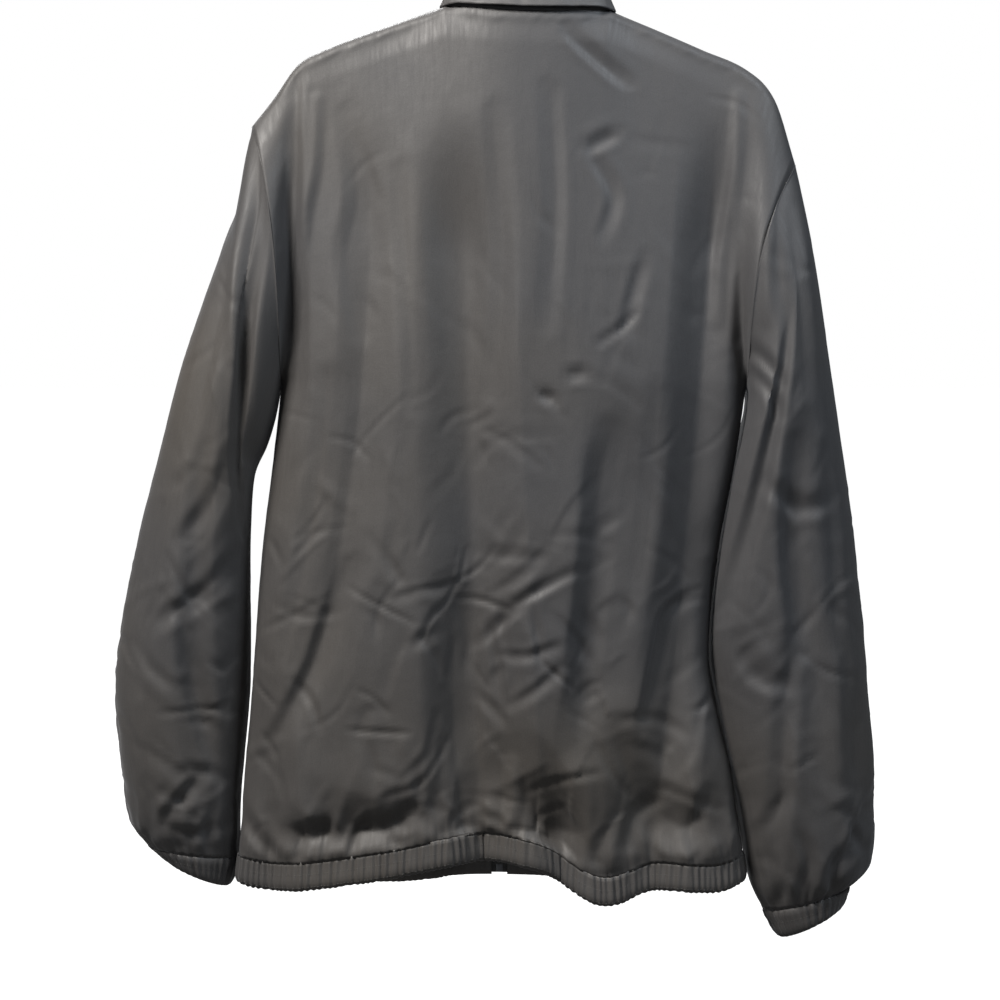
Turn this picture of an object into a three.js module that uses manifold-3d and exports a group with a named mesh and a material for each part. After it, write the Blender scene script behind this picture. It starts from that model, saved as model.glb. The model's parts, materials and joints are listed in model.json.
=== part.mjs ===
// A windbreaker with an elastic hem, elastic cuffs, a turned-down collar and a front zip, on a plain hanger.
// Millimetres, +Z up. The front faces -Y and the wearer's left is +X. The origin is the inside of the hook's
// crown, where a rail holds it.
import * as THREE from "three";
import Module from "manifold-3d";

const wasm = await Module();
wasm.setup();

// Cloth and seams
const CLOTH = 1.2;
const SEAM_GAP = 0.3;
const HALF_GAP = SEAM_GAP / 2;

// The torso below the armpits: how far it reaches to each side, to the back and to the front.
const TORSO = [
  { z: -412, left: 215, right: 192, back: 56, front: 54 },
  { z: -481, left: 223, right: 182, back: 58, front: 56 },
  { z: -560, left: 233, right: 168, back: 60, front: 58 },
  { z: -648, left: 240, right: 160, back: 60, front: 58 },
  { z: -701, left: 244, right: 168, back: 58, front: 56 },
  { z: -754, left: 249, right: 179, back: 56, front: 54 },
  { z: -800, left: 252, right: 186, back: 52, front: 50 },
  { z: -835, left: 255, right: 191, back: 46, front: 44 },
  { z: -880, left: 251, right: 190, back: 44, front: 42 },
];
const TORSO_SQUARENESS = 2.7;

// The seam of the hem band on the back and the front: across runs from -1, the right side, to 1, the left.
// Beyond the table's ends the seam runs level to the side.
const HEM_SEAM = {
  back: [
    { across: -0.93, z: -828 },
    { across: -0.8, z: -834 },
    { across: -0.58, z: -832 },
    { across: -0.38, z: -843 },
    { across: -0.16, z: -812 },
    { across: 0.08, z: -806 },
    { across: 0.38, z: -820 },
    { across: 0.75, z: -833 },
    { across: 0.93, z: -829 },
  ],
  front: [
    { across: -0.93, z: -828 },
    { across: -0.5, z: -836 },
    { across: -0.1, z: -832 },
    { across: 0.1, z: -832 },
    { across: 0.5, z: -838 },
    { across: 0.93, z: -829 },
  ],
};
const HEM_BAND = 24;
const HEM_GATHERS = 84;
const GATHER_HEIGHT = 1.3;
const HEM_TAB = 22;
const STEPS_PER_GATHER = 3;

// The neck seam, an oval that dips at the front.
const NECK = { halfWidth: 72, back: 26, front: 44, z: -86, backDrop: 5, frontDrop: 78 };
const HANGER_TILT = 0.028;
const NECK_SHARE = 0.34;

// The shoulder line, from the neck over the hanger's arm to the tip, where the sleeve starts.
const SHOULDER = {
  left: [
    { out: 72, z: -85 },
    { out: 128, z: -104 },
    { out: 175, z: -121.5 },
    { out: 200, z: -135 },
    { out: 221, z: -164 },
    { out: 240, z: -188 },
  ],
  right: [
    { out: 72, z: -89 },
    { out: 111, z: -104.5 },
    { out: 152, z: -122 },
    { out: 192, z: -140 },
    { out: 216, z: -166 },
    { out: 234, z: -222 },
  ],
};
const SHOULDER_ROUND = 8;

// Each armhole is a tall oval: its tip is the shoulder line's end, its foot is the armpit. At the tip the
// cloth leans out to the side, and at the foot the torso's and the sleeve's splay apart.
const ARMHOLE = {
  tipLean: 2.2,
  splay: 1.6,
  left: { tipX: 240, tipZ: -188, footX: 215, footZ: -415, halfDepth: 42 },
  right: { tipX: 234, tipZ: -222, footX: 192, footZ: -415, halfDepth: 42 },
};

// Each sleeve, from its armhole to its cuff: its outer line, its inner line, its middle and its half depth.
const SLEEVE = {
  left: [
    { t: 0, outerX: 240, outerZ: -188, innerX: 213, innerZ: -415, midY: 0, halfDepth: 42 },
    { t: 0.09, outerX: 251, outerZ: -252, innerX: 219, innerZ: -440, midY: 0, halfDepth: 50 },
    { t: 0.18, outerX: 267, outerZ: -295, innerX: 229, innerZ: -468, midY: -1, halfDepth: 55 },
    { t: 0.27, outerX: 284, outerZ: -342, innerX: 240, innerZ: -494, midY: -2, halfDepth: 58 },
    { t: 0.38, outerX: 306, outerZ: -406, innerX: 244, innerZ: -541, midY: -4, halfDepth: 60 },
    { t: 0.5, outerX: 326, outerZ: -482, innerX: 245, innerZ: -588, midY: -7, halfDepth: 60 },
    { t: 0.62, outerX: 345, outerZ: -560, innerX: 245, innerZ: -636, midY: -10, halfDepth: 60 },
    { t: 0.73, outerX: 361, outerZ: -640, innerX: 246, innerZ: -682, midY: -13, halfDepth: 59 },
    { t: 0.82, outerX: 365, outerZ: -695, innerX: 249, innerZ: -722, midY: -15, halfDepth: 58 },
    { t: 0.9, outerX: 360, outerZ: -757, innerX: 253, innerZ: -766, midY: -16, halfDepth: 54 },
    { t: 0.96, outerX: 352, outerZ: -800, innerX: 256, innerZ: -804, midY: -16, halfDepth: 47 },
    { t: 1, outerX: 337, outerZ: -822, innerX: 257, innerZ: -832, midY: -16, halfDepth: 36 },
  ],
  right: [
    { t: 0, outerX: 234, outerZ: -222, innerX: 190, innerZ: -415, midY: 0, halfDepth: 42 },
    { t: 0.09, outerX: 246, outerZ: -276, innerX: 190, innerZ: -438, midY: 0, halfDepth: 50 },
    { t: 0.18, outerX: 255, outerZ: -326, innerX: 184, innerZ: -466, midY: -2, halfDepth: 56 },
    { t: 0.27, outerX: 263, outerZ: -376, innerX: 175, innerZ: -496, midY: -5, halfDepth: 59 },
    { t: 0.38, outerX: 274, outerZ: -446, innerX: 166, innerZ: -540, midY: -9, halfDepth: 61 },
    { t: 0.5, outerX: 285, outerZ: -520, innerX: 158, innerZ: -590, midY: -12, halfDepth: 61 },
    { t: 0.62, outerX: 294, outerZ: -598, innerX: 156, innerZ: -640, midY: -14, halfDepth: 61 },
    { t: 0.73, outerX: 302, outerZ: -672, innerX: 163, innerZ: -693, midY: -16, halfDepth: 60 },
    { t: 0.82, outerX: 308, outerZ: -740, innerX: 174, innerZ: -750, midY: -17, halfDepth: 58 },
    { t: 0.9, outerX: 309, outerZ: -796, innerX: 188, innerZ: -806, midY: -18, halfDepth: 54 },
    { t: 0.96, outerX: 305, outerZ: -838, innerX: 198, innerZ: -852, midY: -18, halfDepth: 46 },
    { t: 1, outerX: 287, outerZ: -859, innerX: 212, innerZ: -881, midY: -18, halfDepth: 34 },
  ],
};

// Each cuff's open edge, and its gathers.
const CUFF = {
  left: { outerX: 321, outerZ: -836, innerX: 264, innerZ: -859, midY: -15, halfDepth: 31 },
  right: { outerX: 282, outerZ: -878, innerX: 224, innerZ: -906, midY: -17, halfDepth: 31 },
};
const CUFF_GATHERS = 22;

// How far the sleeves hang clear of the torso, and how softly they are pressed where they lie on it.
const ARM_CLEARANCE = 2.5;
const SOFTNESS = 5;

// The largest folds of the torso. Each runs from head over waist to foot, places by x and z. Its cloth falls
// by drop over a slope of half width face towards the wearer's right, or the left if drop is negative, and
// comes back over rest.
const FOLDS = {
  back: [
    { head: [84, -175], waist: [70, -490], foot: [50, -880], face: 17, drop: 21, rest: 52 },
    { head: [150, -175], waist: [150, -330], foot: [205, -690], face: 13, drop: 9, rest: 34 },
    { head: [-150, -165], waist: [-124, -510], foot: [-84, -880], face: 17, drop: 16, rest: 34 },
    { head: [-66, -400], waist: [-54, -575], foot: [-36, -710], face: 16, drop: 11, rest: 40 },
    { head: [10, -690], waist: [-8, -780], foot: [-14, -900], face: 16, drop: 12, rest: 26 },
    { head: [222, -640], waist: [214, -730], foot: [212, -880], face: 14, drop: -9, rest: 40 },
    { head: [206, -150], waist: [200, -250], foot: [196, -400], face: 8, drop: -13, rest: 26 },
    { head: [-190, -170], waist: [-188, -270], foot: [-180, -400], face: 7, drop: 11, rest: 18 },
  ],
  front: [
    { head: [120, -220], waist: [116, -480], foot: [132, -880], face: 16, drop: 12, rest: 48 },
    { head: [-96, -240], waist: [-90, -520], foot: [-72, -880], face: 16, drop: -15, rest: 46 },
    { head: [196, -170], waist: [190, -320], foot: [196, -640], face: 11, drop: -12, rest: 26 },
    { head: [-186, -190], waist: [-176, -300], foot: [-130, -620], face: 10, drop: 12, rest: 22 },
    { head: [70, -560], waist: [76, -690], foot: [60, -900], face: 14, drop: -7, rest: 36 },
  ],
};
const FOLD_END = 130;

// The largest folds of the sleeves, in turns round the sleeve: 0 is the outer line, a quarter is the back.
const SLEEVE_FOLDS = {
  left: [
    { headT: 0.02, headTurn: 0.19, footT: 0.42, footTurn: 0.42, width: 0.045, depth: 9 },
    { headT: 0.3, headTurn: 0.22, footT: 0.95, footTurn: 0.33, width: 0.06, depth: 6 },
    { headT: 0.08, headTurn: 0.8, footT: 0.9, footTurn: 0.7, width: 0.07, depth: 8 },
  ],
  right: [
    { headT: 0.04, headTurn: 0.2, footT: 0.6, footTurn: 0.4, width: 0.05, depth: 8 },
    { headT: 0.3, headTurn: 0.2, footT: 0.95, footTurn: 0.22, width: 0.06, depth: 7 },
    { headT: 0.08, headTurn: 0.8, footT: 0.9, footTurn: 0.7, width: 0.07, depth: 8 },
  ],
};

// The collar: a stand that leans in as it rises, and a fall that turns down over it.
const COLLAR = {
  stand: 36,
  standFront: 27,
  lean: 16,
  turn: 4,
  edgeBack: 3,
  edgeFront: -36,
  flare: 5,
  flareFront: 17,
};

// The zip
const ZIP = { opening: 14, chain: 5.6, tapeReach: 13, tape: 0.8, chainThickness: 3, chainProud: 0.8 };
const ZIP_LINE = [
  { rise: -1.3, across: -0.035 },
  { rise: -0.4, across: -0.02 },
  { rise: 0.4, across: 0 },
  { rise: 1, across: 0 },
];
const ZIP_TOP = 0.945;
const SLIDER = {
  width: 9,
  length: 15,
  plate: 2,
  bridgeWidth: 2.4,
  bridgeLength: 9.2,
  bridgeRise: 4.2,
  bridgeBar: 1.2,
  post: 1.6,
};
const PULL = { width: 6.4, length: 27, thickness: 1.4, window: 3.4, crossbar: 1.4, windowLength: 5.6 };
const BOX = { halfWidth: 4, length: 7, proud: 1.4, thickness: 2.9, aboveEdge: 2 };

// The hanger. It stays below the cloth of the shoulders by its clearance, and by its dip beside the neck.
const HANGER = {
  reach: 196,
  thickness: 10.4,
  neckThickness: 6.4,
  depth: 17,
  apexZ: -76,
  clearance: 0.8,
  dip: 5,
  hookRadius: 20,
  hookBar: 3.4,
  stemZ: -58,
};

// The stations of an armhole seam, from the armpit up to the tip, in degrees from the tip.
const HOLE_DEGREES = [180, 160, 141, 123, 106, 90, 74, 58, 43, 31, 22, 14, 7, 0];

// The columns of a panel over one shoulder and over the neck.
const SHOULDER_COLUMNS = 10;
const BACK_NECK_COLUMNS = 12;
const FRONT_NECK_COLUMNS = 7;

const SIDES = { left: 1, right: -1 };

// A small step along a surface, in shares, for reading which way it runs.
const NEAR = 0.004;

const mix = (a, b, share) => a + (b - a) * share;
const clamp = (value, low, high) => Math.min(high, Math.max(low, value));
const ease = (value) => {
  const v = clamp(value, 0, 1);
  return v * v * (3 - 2 * v);
};
const vec = (x, y, z) => new THREE.Vector3(x, y, z);
const steps = (from, to, count) => Array.from({ length: count + 1 }, (_, i) => mix(from, to, i / count));
const riseAt = (degrees) => (1 + Math.cos((degrees / 180) * Math.PI)) / 2;

// Reads a table at a place along its key column, on a smooth curve through its rows.
function read(table, key, at) {
  const rising = table[0][key] < table[table.length - 1][key];
  const rows = rising ? table : [...table].reverse();
  const place = clamp(at, rows[0][key], rows[rows.length - 1][key]);
  let i = 0;
  while (i < rows.length - 2 && rows[i + 1][key] < place) i += 1;
  const [before, a, b, after] = [-1, 0, 1, 2].map((step) => rows[clamp(i + step, 0, rows.length - 1)]);
  const span = b[key] - a[key];
  const share = (place - a[key]) / span;
  const found = {};
  for (const column of Object.keys(a)) {
    const slopeA = ((b[column] - before[column]) / (b[key] - before[key])) * span;
    const slopeB = ((after[column] - a[column]) / (after[key] - a[key])) * span;
    const s2 = share * share;
    const s3 = s2 * share;
    found[column] =
      (2 * s3 - 3 * s2 + 1) * a[column] +
      (s3 - 2 * s2 + share) * slopeA +
      (3 * s2 - 2 * s3) * b[column] +
      (s3 - s2) * slopeB;
  }
  return found;
}

// Half a rounded section, by its share of the way round from -1 to 1: x from -1 to 1, y from 0 over 1 to 0.
const SECTION = (() => {
  const samples = 240;
  const halfWidth = 200;
  const halfDepth = 56;
  const power = 2 / TORSO_SQUARENESS;
  const points = [];
  let length = 0;
  for (let i = 0; i <= samples; i += 1) {
    const angle = ((i / samples) * 2 - 1) * (Math.PI / 2);
    const x = Math.sign(Math.sin(angle)) * Math.abs(Math.sin(angle)) ** power;
    const y = Math.abs(Math.cos(angle)) ** power;
    const last = points[points.length - 1];
    if (last) length += Math.hypot((x - last.x) * halfWidth, (y - last.y) * halfDepth);
    points.push({ x, y, length });
  }
  return points.map((p) => ({ x: p.x, y: p.y, across: (p.length / length) * 2 - 1 }));
})();

function sectionAt(across) {
  let low = 0;
  let high = SECTION.length - 1;
  while (high - low > 1) {
    const middle = (low + high) >> 1;
    if (SECTION[middle].across <= across) low = middle;
    else high = middle;
  }
  const a = SECTION[low];
  const b = SECTION[high];
  const share = clamp((across - a.across) / (b.across - a.across), 0, 1);
  return { x: mix(a.x, b.x, share), y: mix(a.y, b.y, share) };
}

// A point of the neck seam: 0 is the middle of the back, a half turn either way is the middle of the front.
function neckPoint(angle) {
  const forward = Math.cos(angle) < 0;
  const depth = forward ? NECK.front : NECK.back;
  const drop = forward ? NECK.frontDrop : NECK.backDrop;
  const x = NECK.halfWidth * Math.sin(angle);
  const share = Math.abs(Math.cos(angle));
  return vec(x, depth * Math.cos(angle), NECK.z + x * HANGER_TILT - drop * share ** 2);
}

function shoulderZ(x) {
  const table = x > 0 ? SHOULDER.left : SHOULDER.right;
  return read(table, "out", Math.abs(x)).z;
}

// The top edge of the back or the front: the shoulder line, the neck, and the other shoulder line.
function topEdge(face, across) {
  if (Math.abs(across) <= NECK_SHARE) {
    const angle = (across / NECK_SHARE) * (Math.PI / 2);
    return neckPoint(face > 0 ? angle : Math.PI - angle);
  }
  const tip = across > 0 ? ARMHOLE.left.tipX : ARMHOLE.right.tipX;
  const share = (Math.abs(across) - NECK_SHARE) / (1 - NECK_SHARE);
  const x = Math.sign(across) * mix(NECK.halfWidth, tip, share);
  return vec(x, 0, shoulderZ(x));
}

// A point of an armhole seam: angle 0 is the tip, half a turn is the armpit, a quarter is the back.
function armholePoint(side, angle) {
  const hole = side > 0 ? ARMHOLE.left : ARMHOLE.right;
  const height = (1 + Math.cos(angle)) / 2;
  const x = side * mix(hole.footX, hole.tipX, height ** 3);
  return vec(x, hole.halfDepth * Math.sin(angle), mix(hole.footZ, hole.tipZ, height));
}

// The way out of the cloth at an armhole seam, and the way across it from the torso into the sleeve. Near the
// armpit the torso and the sleeve lie face to face, so there each has its own way out, by its lean.
function armholeFrame(side, angle, lean = 0) {
  const height = Math.cos(angle);
  const apart = lean * ARMHOLE.splay * ease((-height - 0.1) / 0.8);
  const out = vec(side * (ARMHOLE.tipLean * Math.max(0, height) ** 2 + apart), Math.sin(angle), height);
  out.normalize();
  const step = 0.01;
  const along = armholePoint(side, angle + step).sub(armholePoint(side, angle - step)).normalize();
  const over = along.clone().cross(out).normalize();
  if (over.x * side < 0) over.negate();
  return { out, over };
}

// The torso without its folds. Rise is -1 at the hem's seam, 0 at the armpits and 1 at the top edge.
function torsoBase(face, across, rise) {
  const profile = sectionAt(across);
  const rightFoot = ARMHOLE.right;
  const leftFoot = ARMHOLE.left;
  const armpitZ = mix(rightFoot.footZ, leftFoot.footZ, (across + 1) / 2);
  if (rise <= 0) {
    const seam = face > 0 ? HEM_SEAM.back : HEM_SEAM.front;
    const seamZ = read(seam, "across", across).z;
    const z = mix(armpitZ, seamZ, Math.min(1, -rise));
    const size = read(TORSO, "z", z);
    const middle = (size.left - size.right) / 2;
    const halfWidth = (size.left + size.right) / 2;
    return vec(middle + halfWidth * profile.x, face * (face > 0 ? size.back : size.front) * profile.y, z);
  }
  const angle = Math.acos(clamp(2 * rise - 1, -1, 1));
  const left = armholePoint(1, angle);
  const right = armholePoint(-1, angle);
  const top = topEdge(face, across);
  const topMiddle = (leftFoot.tipX - rightFoot.tipX) / 2;
  const topHalf = (leftFoot.tipX + rightFoot.tipX) / 2;
  const shareX = mix(profile.x, (top.x - topMiddle) / topHalf, ease(rise));
  const x = (left.x + right.x) / 2 + ((left.x - right.x) / 2) * shareX;
  const z = mix(armpitZ, top.z, rise);
  const below = top.z - z;
  const onShoulder = ease((Math.abs(across) - NECK_SHARE + 0.08) / 0.08);
  const round = SHOULDER_ROUND * onShoulder;
  const arc = round > 0 ? Math.sqrt(Math.max(0, 1 - (1 - clamp(below / round, 0, 1)) ** 2)) : 0;
  const chest = (face > 0 ? TORSO[0].back : TORSO[0].front) * profile.y;
  const depthOf = (section, seam) => {
    const inner = mix(Math.abs(top.y) + round * arc, section, 1 - rise ** 1.3);
    return Math.cbrt(inner ** 3 + seam ** 3);
  };
  const seam = Math.abs(left.y);
  const miss = seam - depthOf(0, seam);
  const y = depthOf(chest, seam * across ** 4) + miss * across ** 16;
  return vec(x, face * y, z);
}

// How far one fold takes the cloth in. Its line is a curve through its head, waist and foot.
function foldDepth(fold, x, z) {
  const [headX, headZ] = fold.head;
  const [waistX, waistZ] = fold.waist;
  const [footX, footZ] = fold.foot;
  const share = clamp((headZ - z) / (headZ - footZ), 0, 1);
  const bow = (headZ - waistZ) / (headZ - footZ);
  const lineX =
    (headX * (share - bow) * (share - 1)) / bow +
    (waistX * share * (share - 1)) / (bow * (bow - 1)) +
    (footX * share * (share - bow)) / (1 - bow);
  const way = Math.sign(fold.drop);
  const past = (lineX - x) * way;
  const into = ease((past + fold.face) / (2 * fold.face));
  const back = ease((past - fold.face) / fold.rest);
  const ends = ease((headZ - z) / FOLD_END) * ease((z - footZ) / FOLD_END + 0.5);
  return Math.abs(fold.drop) * (into - back) * ends;
}

// The torso's surface with its folds, which fade out at the side seams, the armholes and the top edge.
function torso(face, across, rise) {
  const point = torsoBase(face, across, rise);
  const folds = face > 0 ? FOLDS.back : FOLDS.front;
  const topZ = topEdge(face, across).z;
  const fade = ease((1 - Math.abs(across)) / 0.12) * ease((topZ - point.z - SHOULDER_ROUND) / 40);
  const depth = folds.reduce((sum, fold) => sum + foldDepth(fold, point.x, point.z), 0);
  point.y -= face * depth * fade;
  point.y += face * HALF_GAP;
  return point;
}

// The way out of a surface given by a function of two shares.
function wayOut(surface, a, b, outward) {
  const alongA = surface(a + NEAR, b).sub(surface(a - NEAR, b));
  const alongB = surface(a, b + NEAR).sub(surface(a, b - NEAR));
  const normal = alongA.cross(alongB).normalize();
  if (normal.dot(outward) < 0) normal.negate();
  return normal;
}

// Half the gap at an armhole seam, wider under the arm, where the two sides lie face to face.
function armholeGap(angle) {
  return HALF_GAP * (1 + 2 * ease(-Math.cos(angle)));
}

function torsoNormal(face, across, rise) {
  const side = Math.sign(across) || 1;
  if (rise <= -1) {
    const from = torso(face, clamp(across - NEAR, -1, 1), -1);
    const along = torso(face, clamp(across + NEAR, -1, 1), -1).sub(from);
    const level = vec(along.y, -along.x, 0).normalize();
    const inward = level.y * face < 0 || (Math.abs(across) > 0.9 && level.x * side < 0);
    return inward ? level.negate() : level;
  }
  if (Math.abs(across) > 0.999) {
    if (rise >= 0) return armholeFrame(side, face * Math.acos(clamp(2 * rise - 1, -1, 1)), 1).out;
    const up = torso(face, across, rise + 0.01).sub(torso(face, across, rise - 0.01));
    const normal = vec(0, 1, 0).cross(up).normalize();
    return normal.x * side < 0 ? normal.negate() : normal;
  }
  if (rise > 0.999) {
    if (Math.abs(across) <= NECK_SHARE + 1e-6) {
      const angle = (across / NECK_SHARE) * (Math.PI / 2);
      return neckFrame(face > 0 ? angle : Math.PI - angle).out;
    }
    const along = topEdge(face, across + 0.005).sub(topEdge(face, across - 0.005));
    const normal = vec(0, 1, 0).cross(along).normalize();
    return normal.z < 0 ? normal.negate() : normal;
  }
  const hint = vec(side * Math.abs(across) ** 6, face * (1.02 - Math.abs(across) ** 6), 0.2 * rise ** 8);
  return wayOut((a, r) => torso(face, clamp(a, -1, 1), Math.min(r, 1)), across, rise, hint);
}

// The way out of the cloth at the neck seam, and the way across it from the body into the collar.
function neckFrame(angle) {
  const out = vec(0.8 * Math.sin(angle), 0.8 * Math.cos(angle), 0.6).normalize();
  const over = vec(0, 0, 1).addScaledVector(out, -out.z).normalize();
  return { out, over };
}

// One station of a panel of the torso: its outer and its inner point, drawn back from the seam it lies on.
function torsoStation(face, across, rise) {
  const outer = torso(face, across, rise);
  const normal = torsoNormal(face, across, rise);
  if (Math.abs(across) > 0.999 && rise >= 0) {
    const angle = face * Math.acos(clamp(2 * rise - 1, -1, 1));
    outer.addScaledVector(armholeFrame(Math.sign(across), angle).over, -armholeGap(angle));
  } else if (rise > 0.999 && Math.abs(across) <= NECK_SHARE + 1e-6) {
    const angle = (across / NECK_SHARE) * (Math.PI / 2);
    outer.addScaledVector(neckFrame(face > 0 ? angle : Math.PI - angle).over, -HALF_GAP);
  }
  const inner = outer.clone().addScaledVector(normal, -CLOTH);
  if (rise === -1) for (const point of [outer, inner]) point.z = hemSeamZ(face, point.x) + SEAM_GAP;
  return { outer, inner };
}

// A closed solid from rows of stations. A tube's rows close on themselves.
function clothWall(rows, tube = false) {
  const count = rows[0].length;
  const points = rows.flat().flatMap(({ outer, inner }) => [outer, inner]);
  const at = (row, column, layer) => (row * count + (column % count)) * 2 + layer;
  const faces = [];
  // The shorter diagonal of the outer face parts each field, on both faces of the cloth.
  const quad = (a, b, c, d) => {
    const [p, q, r, s] = [a, b, c, d].map((index) => points[index - (index % 2)]);
    if (p.distanceTo(r) <= q.distanceTo(s)) faces.push(a, b, c, a, c, d);
    else faces.push(b, c, d, b, d, a);
  };
  const columns = tube ? count : count - 1;
  for (let r = 0; r < rows.length - 1; r += 1)
    for (let c = 0; c < columns; c += 1) {
      quad(at(r, c, 0), at(r, c + 1, 0), at(r + 1, c + 1, 0), at(r + 1, c, 0));
      quad(at(r, c, 1), at(r + 1, c, 1), at(r + 1, c + 1, 1), at(r, c + 1, 1));
    }
  const last = rows.length - 1;
  for (let c = 0; c < columns; c += 1) {
    quad(at(0, c, 0), at(0, c, 1), at(0, c + 1, 1), at(0, c + 1, 0));
    quad(at(last, c, 0), at(last, c + 1, 0), at(last, c + 1, 1), at(last, c, 1));
  }
  if (!tube)
    for (let r = 0; r < last; r += 1) {
      quad(at(r, 0, 0), at(r + 1, 0, 0), at(r + 1, 0, 1), at(r, 0, 1));
      quad(at(r, columns, 0), at(r, columns, 1), at(r + 1, columns, 1), at(r + 1, columns, 0));
    }
  return facingOut(points, faces);
}

// A geometry from points and faces, turned round if its faces point in.
function facingOut(points, faces) {
  let volume = 0;
  for (let i = 0; i < faces.length; i += 3) {
    const [a, b, c] = [faces[i], faces[i + 1], faces[i + 2]].map((index) => points[index]);
    volume += a.dot(b.clone().cross(c));
  }
  for (let i = 0; volume < 0 && i < faces.length; i += 3) {
    [faces[i + 1], faces[i + 2]] = [faces[i + 2], faces[i + 1]];
  }
  const geometry = new THREE.BufferGeometry().setFromPoints(points);
  geometry.setIndex(faces);
  geometry.computeVertexNormals();
  return geometry;
}

// A closed solid through rings of points, with a flat cap at each end.
function loft(rings) {
  const count = rings[0].length;
  const points = rings.flat();
  const faces = [];
  for (let r = 0; r < rings.length - 1; r += 1)
    for (let c = 0; c < count; c += 1) {
      const a = r * count + c;
      const b = r * count + ((c + 1) % count);
      faces.push(a, b, b + count, a, b + count, a + count);
    }
  const end = (rings.length - 1) * count;
  for (let c = 1; c < count - 1; c += 1) {
    faces.push(0, c + 1, c);
    faces.push(end, end + c, end + c + 1);
  }
  return facingOut(points, faces);
}

// The rows of the torso's panels. Above the armpits they are the stations of the armhole seams.
const RISES = [...steps(-1, 0, 13), ...HOLE_DEGREES.slice(1).map((degrees) => riseAt(degrees))];

// The across value at a distance in millimetres to one side of the zip's middle.
function besideZip(offset, rise) {
  const middleLine = read(ZIP_LINE, "rise", rise).across;
  const start = torsoBase(-1, middleLine, rise);
  let low = middleLine;
  let high = middleLine + Math.sign(offset) * 0.2;
  for (let i = 0; i < 30; i += 1) {
    const middle = (low + high) / 2;
    const reached = Math.abs(torsoBase(-1, middle, rise).x - start.x);
    if (reached < Math.abs(offset)) low = middle;
    else high = middle;
  }
  return (low + high) / 2;
}

function backColumns() {
  const shoulder = steps(NECK_SHARE, 1, SHOULDER_COLUMNS).slice(1);
  const neck = steps(-NECK_SHARE, NECK_SHARE, BACK_NECK_COLUMNS);
  return [...shoulder.map((across) => -across).reverse(), ...neck, ...shoulder];
}

function frontColumns(side, rise) {
  const edge = besideZip((side * ZIP.opening) / 2, rise);
  const shoulder = steps(side, side * NECK_SHARE, SHOULDER_COLUMNS);
  return [...shoulder, ...steps(side * NECK_SHARE, edge, FRONT_NECK_COLUMNS).slice(1)];
}

function backPanel() {
  return clothWall(RISES.map((rise) => backColumns().map((across) => torsoStation(1, across, rise))));
}

function frontPanel(side) {
  const row = (rise) => frontColumns(side, rise).map((across) => torsoStation(-1, across, rise));
  return clothWall(RISES.map(row));
}

// The foot of a panel, as places by their x, so that the hem band can follow its straight stretches.
const PANEL_FEET = {
  back: backColumns().map((across) => torso(1, across, -1)),
  front: [...frontColumns(-1, -1), ...frontColumns(1, -1).reverse()].map((across) => torso(-1, across, -1)),
};

function hemSeamZ(face, x) {
  const feet = face > 0 ? PANEL_FEET.back : PANEL_FEET.front;
  const at = clamp(x, feet[0].x, feet[feet.length - 1].x);
  let i = 0;
  while (i < feet.length - 2 && feet[i + 1].x < at) i += 1;
  return mix(feet[i].z, feet[i + 1].z, (at - feet[i].x) / (feet[i + 1].x - feet[i].x));
}

// The hem band runs from one side of the zip round the back to the other, in even steps of its gathers.
function hemBand() {
  const samples = 160;
  const edgeLeft = besideZip(ZIP.opening / 2, -1);
  const edgeRight = besideZip(-ZIP.opening / 2, -1);
  const way = [
    ...steps(edgeLeft, 1, samples).map((across) => ({ face: -1, across })),
    ...steps(1, -1, samples * 2).slice(1).map((across) => ({ face: 1, across })),
    ...steps(-1, edgeRight, samples).slice(1).map((across) => ({ face: -1, across })),
  ];
  let length = 0;
  way.forEach((place, i) => {
    if (i > 0) {
      const last = way[i - 1];
      length += torso(place.face, place.across, -1).distanceTo(torso(last.face, last.across, -1));
    }
    place.length = length;
  });
  const count = HEM_GATHERS * STEPS_PER_GATHER;
  let next = 0;
  const places = steps(0, length, count).map((at) => {
    while (next < way.length - 1 && way[next].length < at) next += 1;
    return way[next];
  });
  return clothWall(
    [SEAM_GAP, HEM_BAND].map((drop) =>
      places.map(({ face, across, length: at }, i) => {
        const normal = torsoNormal(face, across, -1);
        const fade = ease((Math.min(at, length - at) - HEM_TAB) / HEM_TAB);
        const wave = Math.cos((i / STEPS_PER_GATHER) * 2 * Math.PI) * fade;
        const outer = torso(face, across, -1).addScaledVector(normal, GATHER_HEIGHT * wave);
        const inner = outer.clone().addScaledVector(normal, -CLOTH);
        for (const point of [outer, inner]) point.z = hemSeamZ(face, point.x) - drop;
        return { outer, inner };
      }),
    ),
  );
}

// A sleeve's surface: t runs from the armhole to the cuff's seam, turn runs once round from the outer line.
function sleeveBase(side, turn, t) {
  const row = read(side > 0 ? SLEEVE.left : SLEEVE.right, "t", t);
  const angle = turn * 2 * Math.PI;
  const outer = vec(side * row.outerX, row.midY, row.outerZ);
  const inner = vec(side * row.innerX, row.midY, row.innerZ);
  const point = outer.clone().add(inner).multiplyScalar(0.5);
  point.addScaledVector(outer.sub(inner), Math.cos(angle) / 2);
  point.y += row.halfDepth * Math.sin(angle);
  return armholePoint(side, angle).lerp(point, ease(t / 0.12));
}

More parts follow.
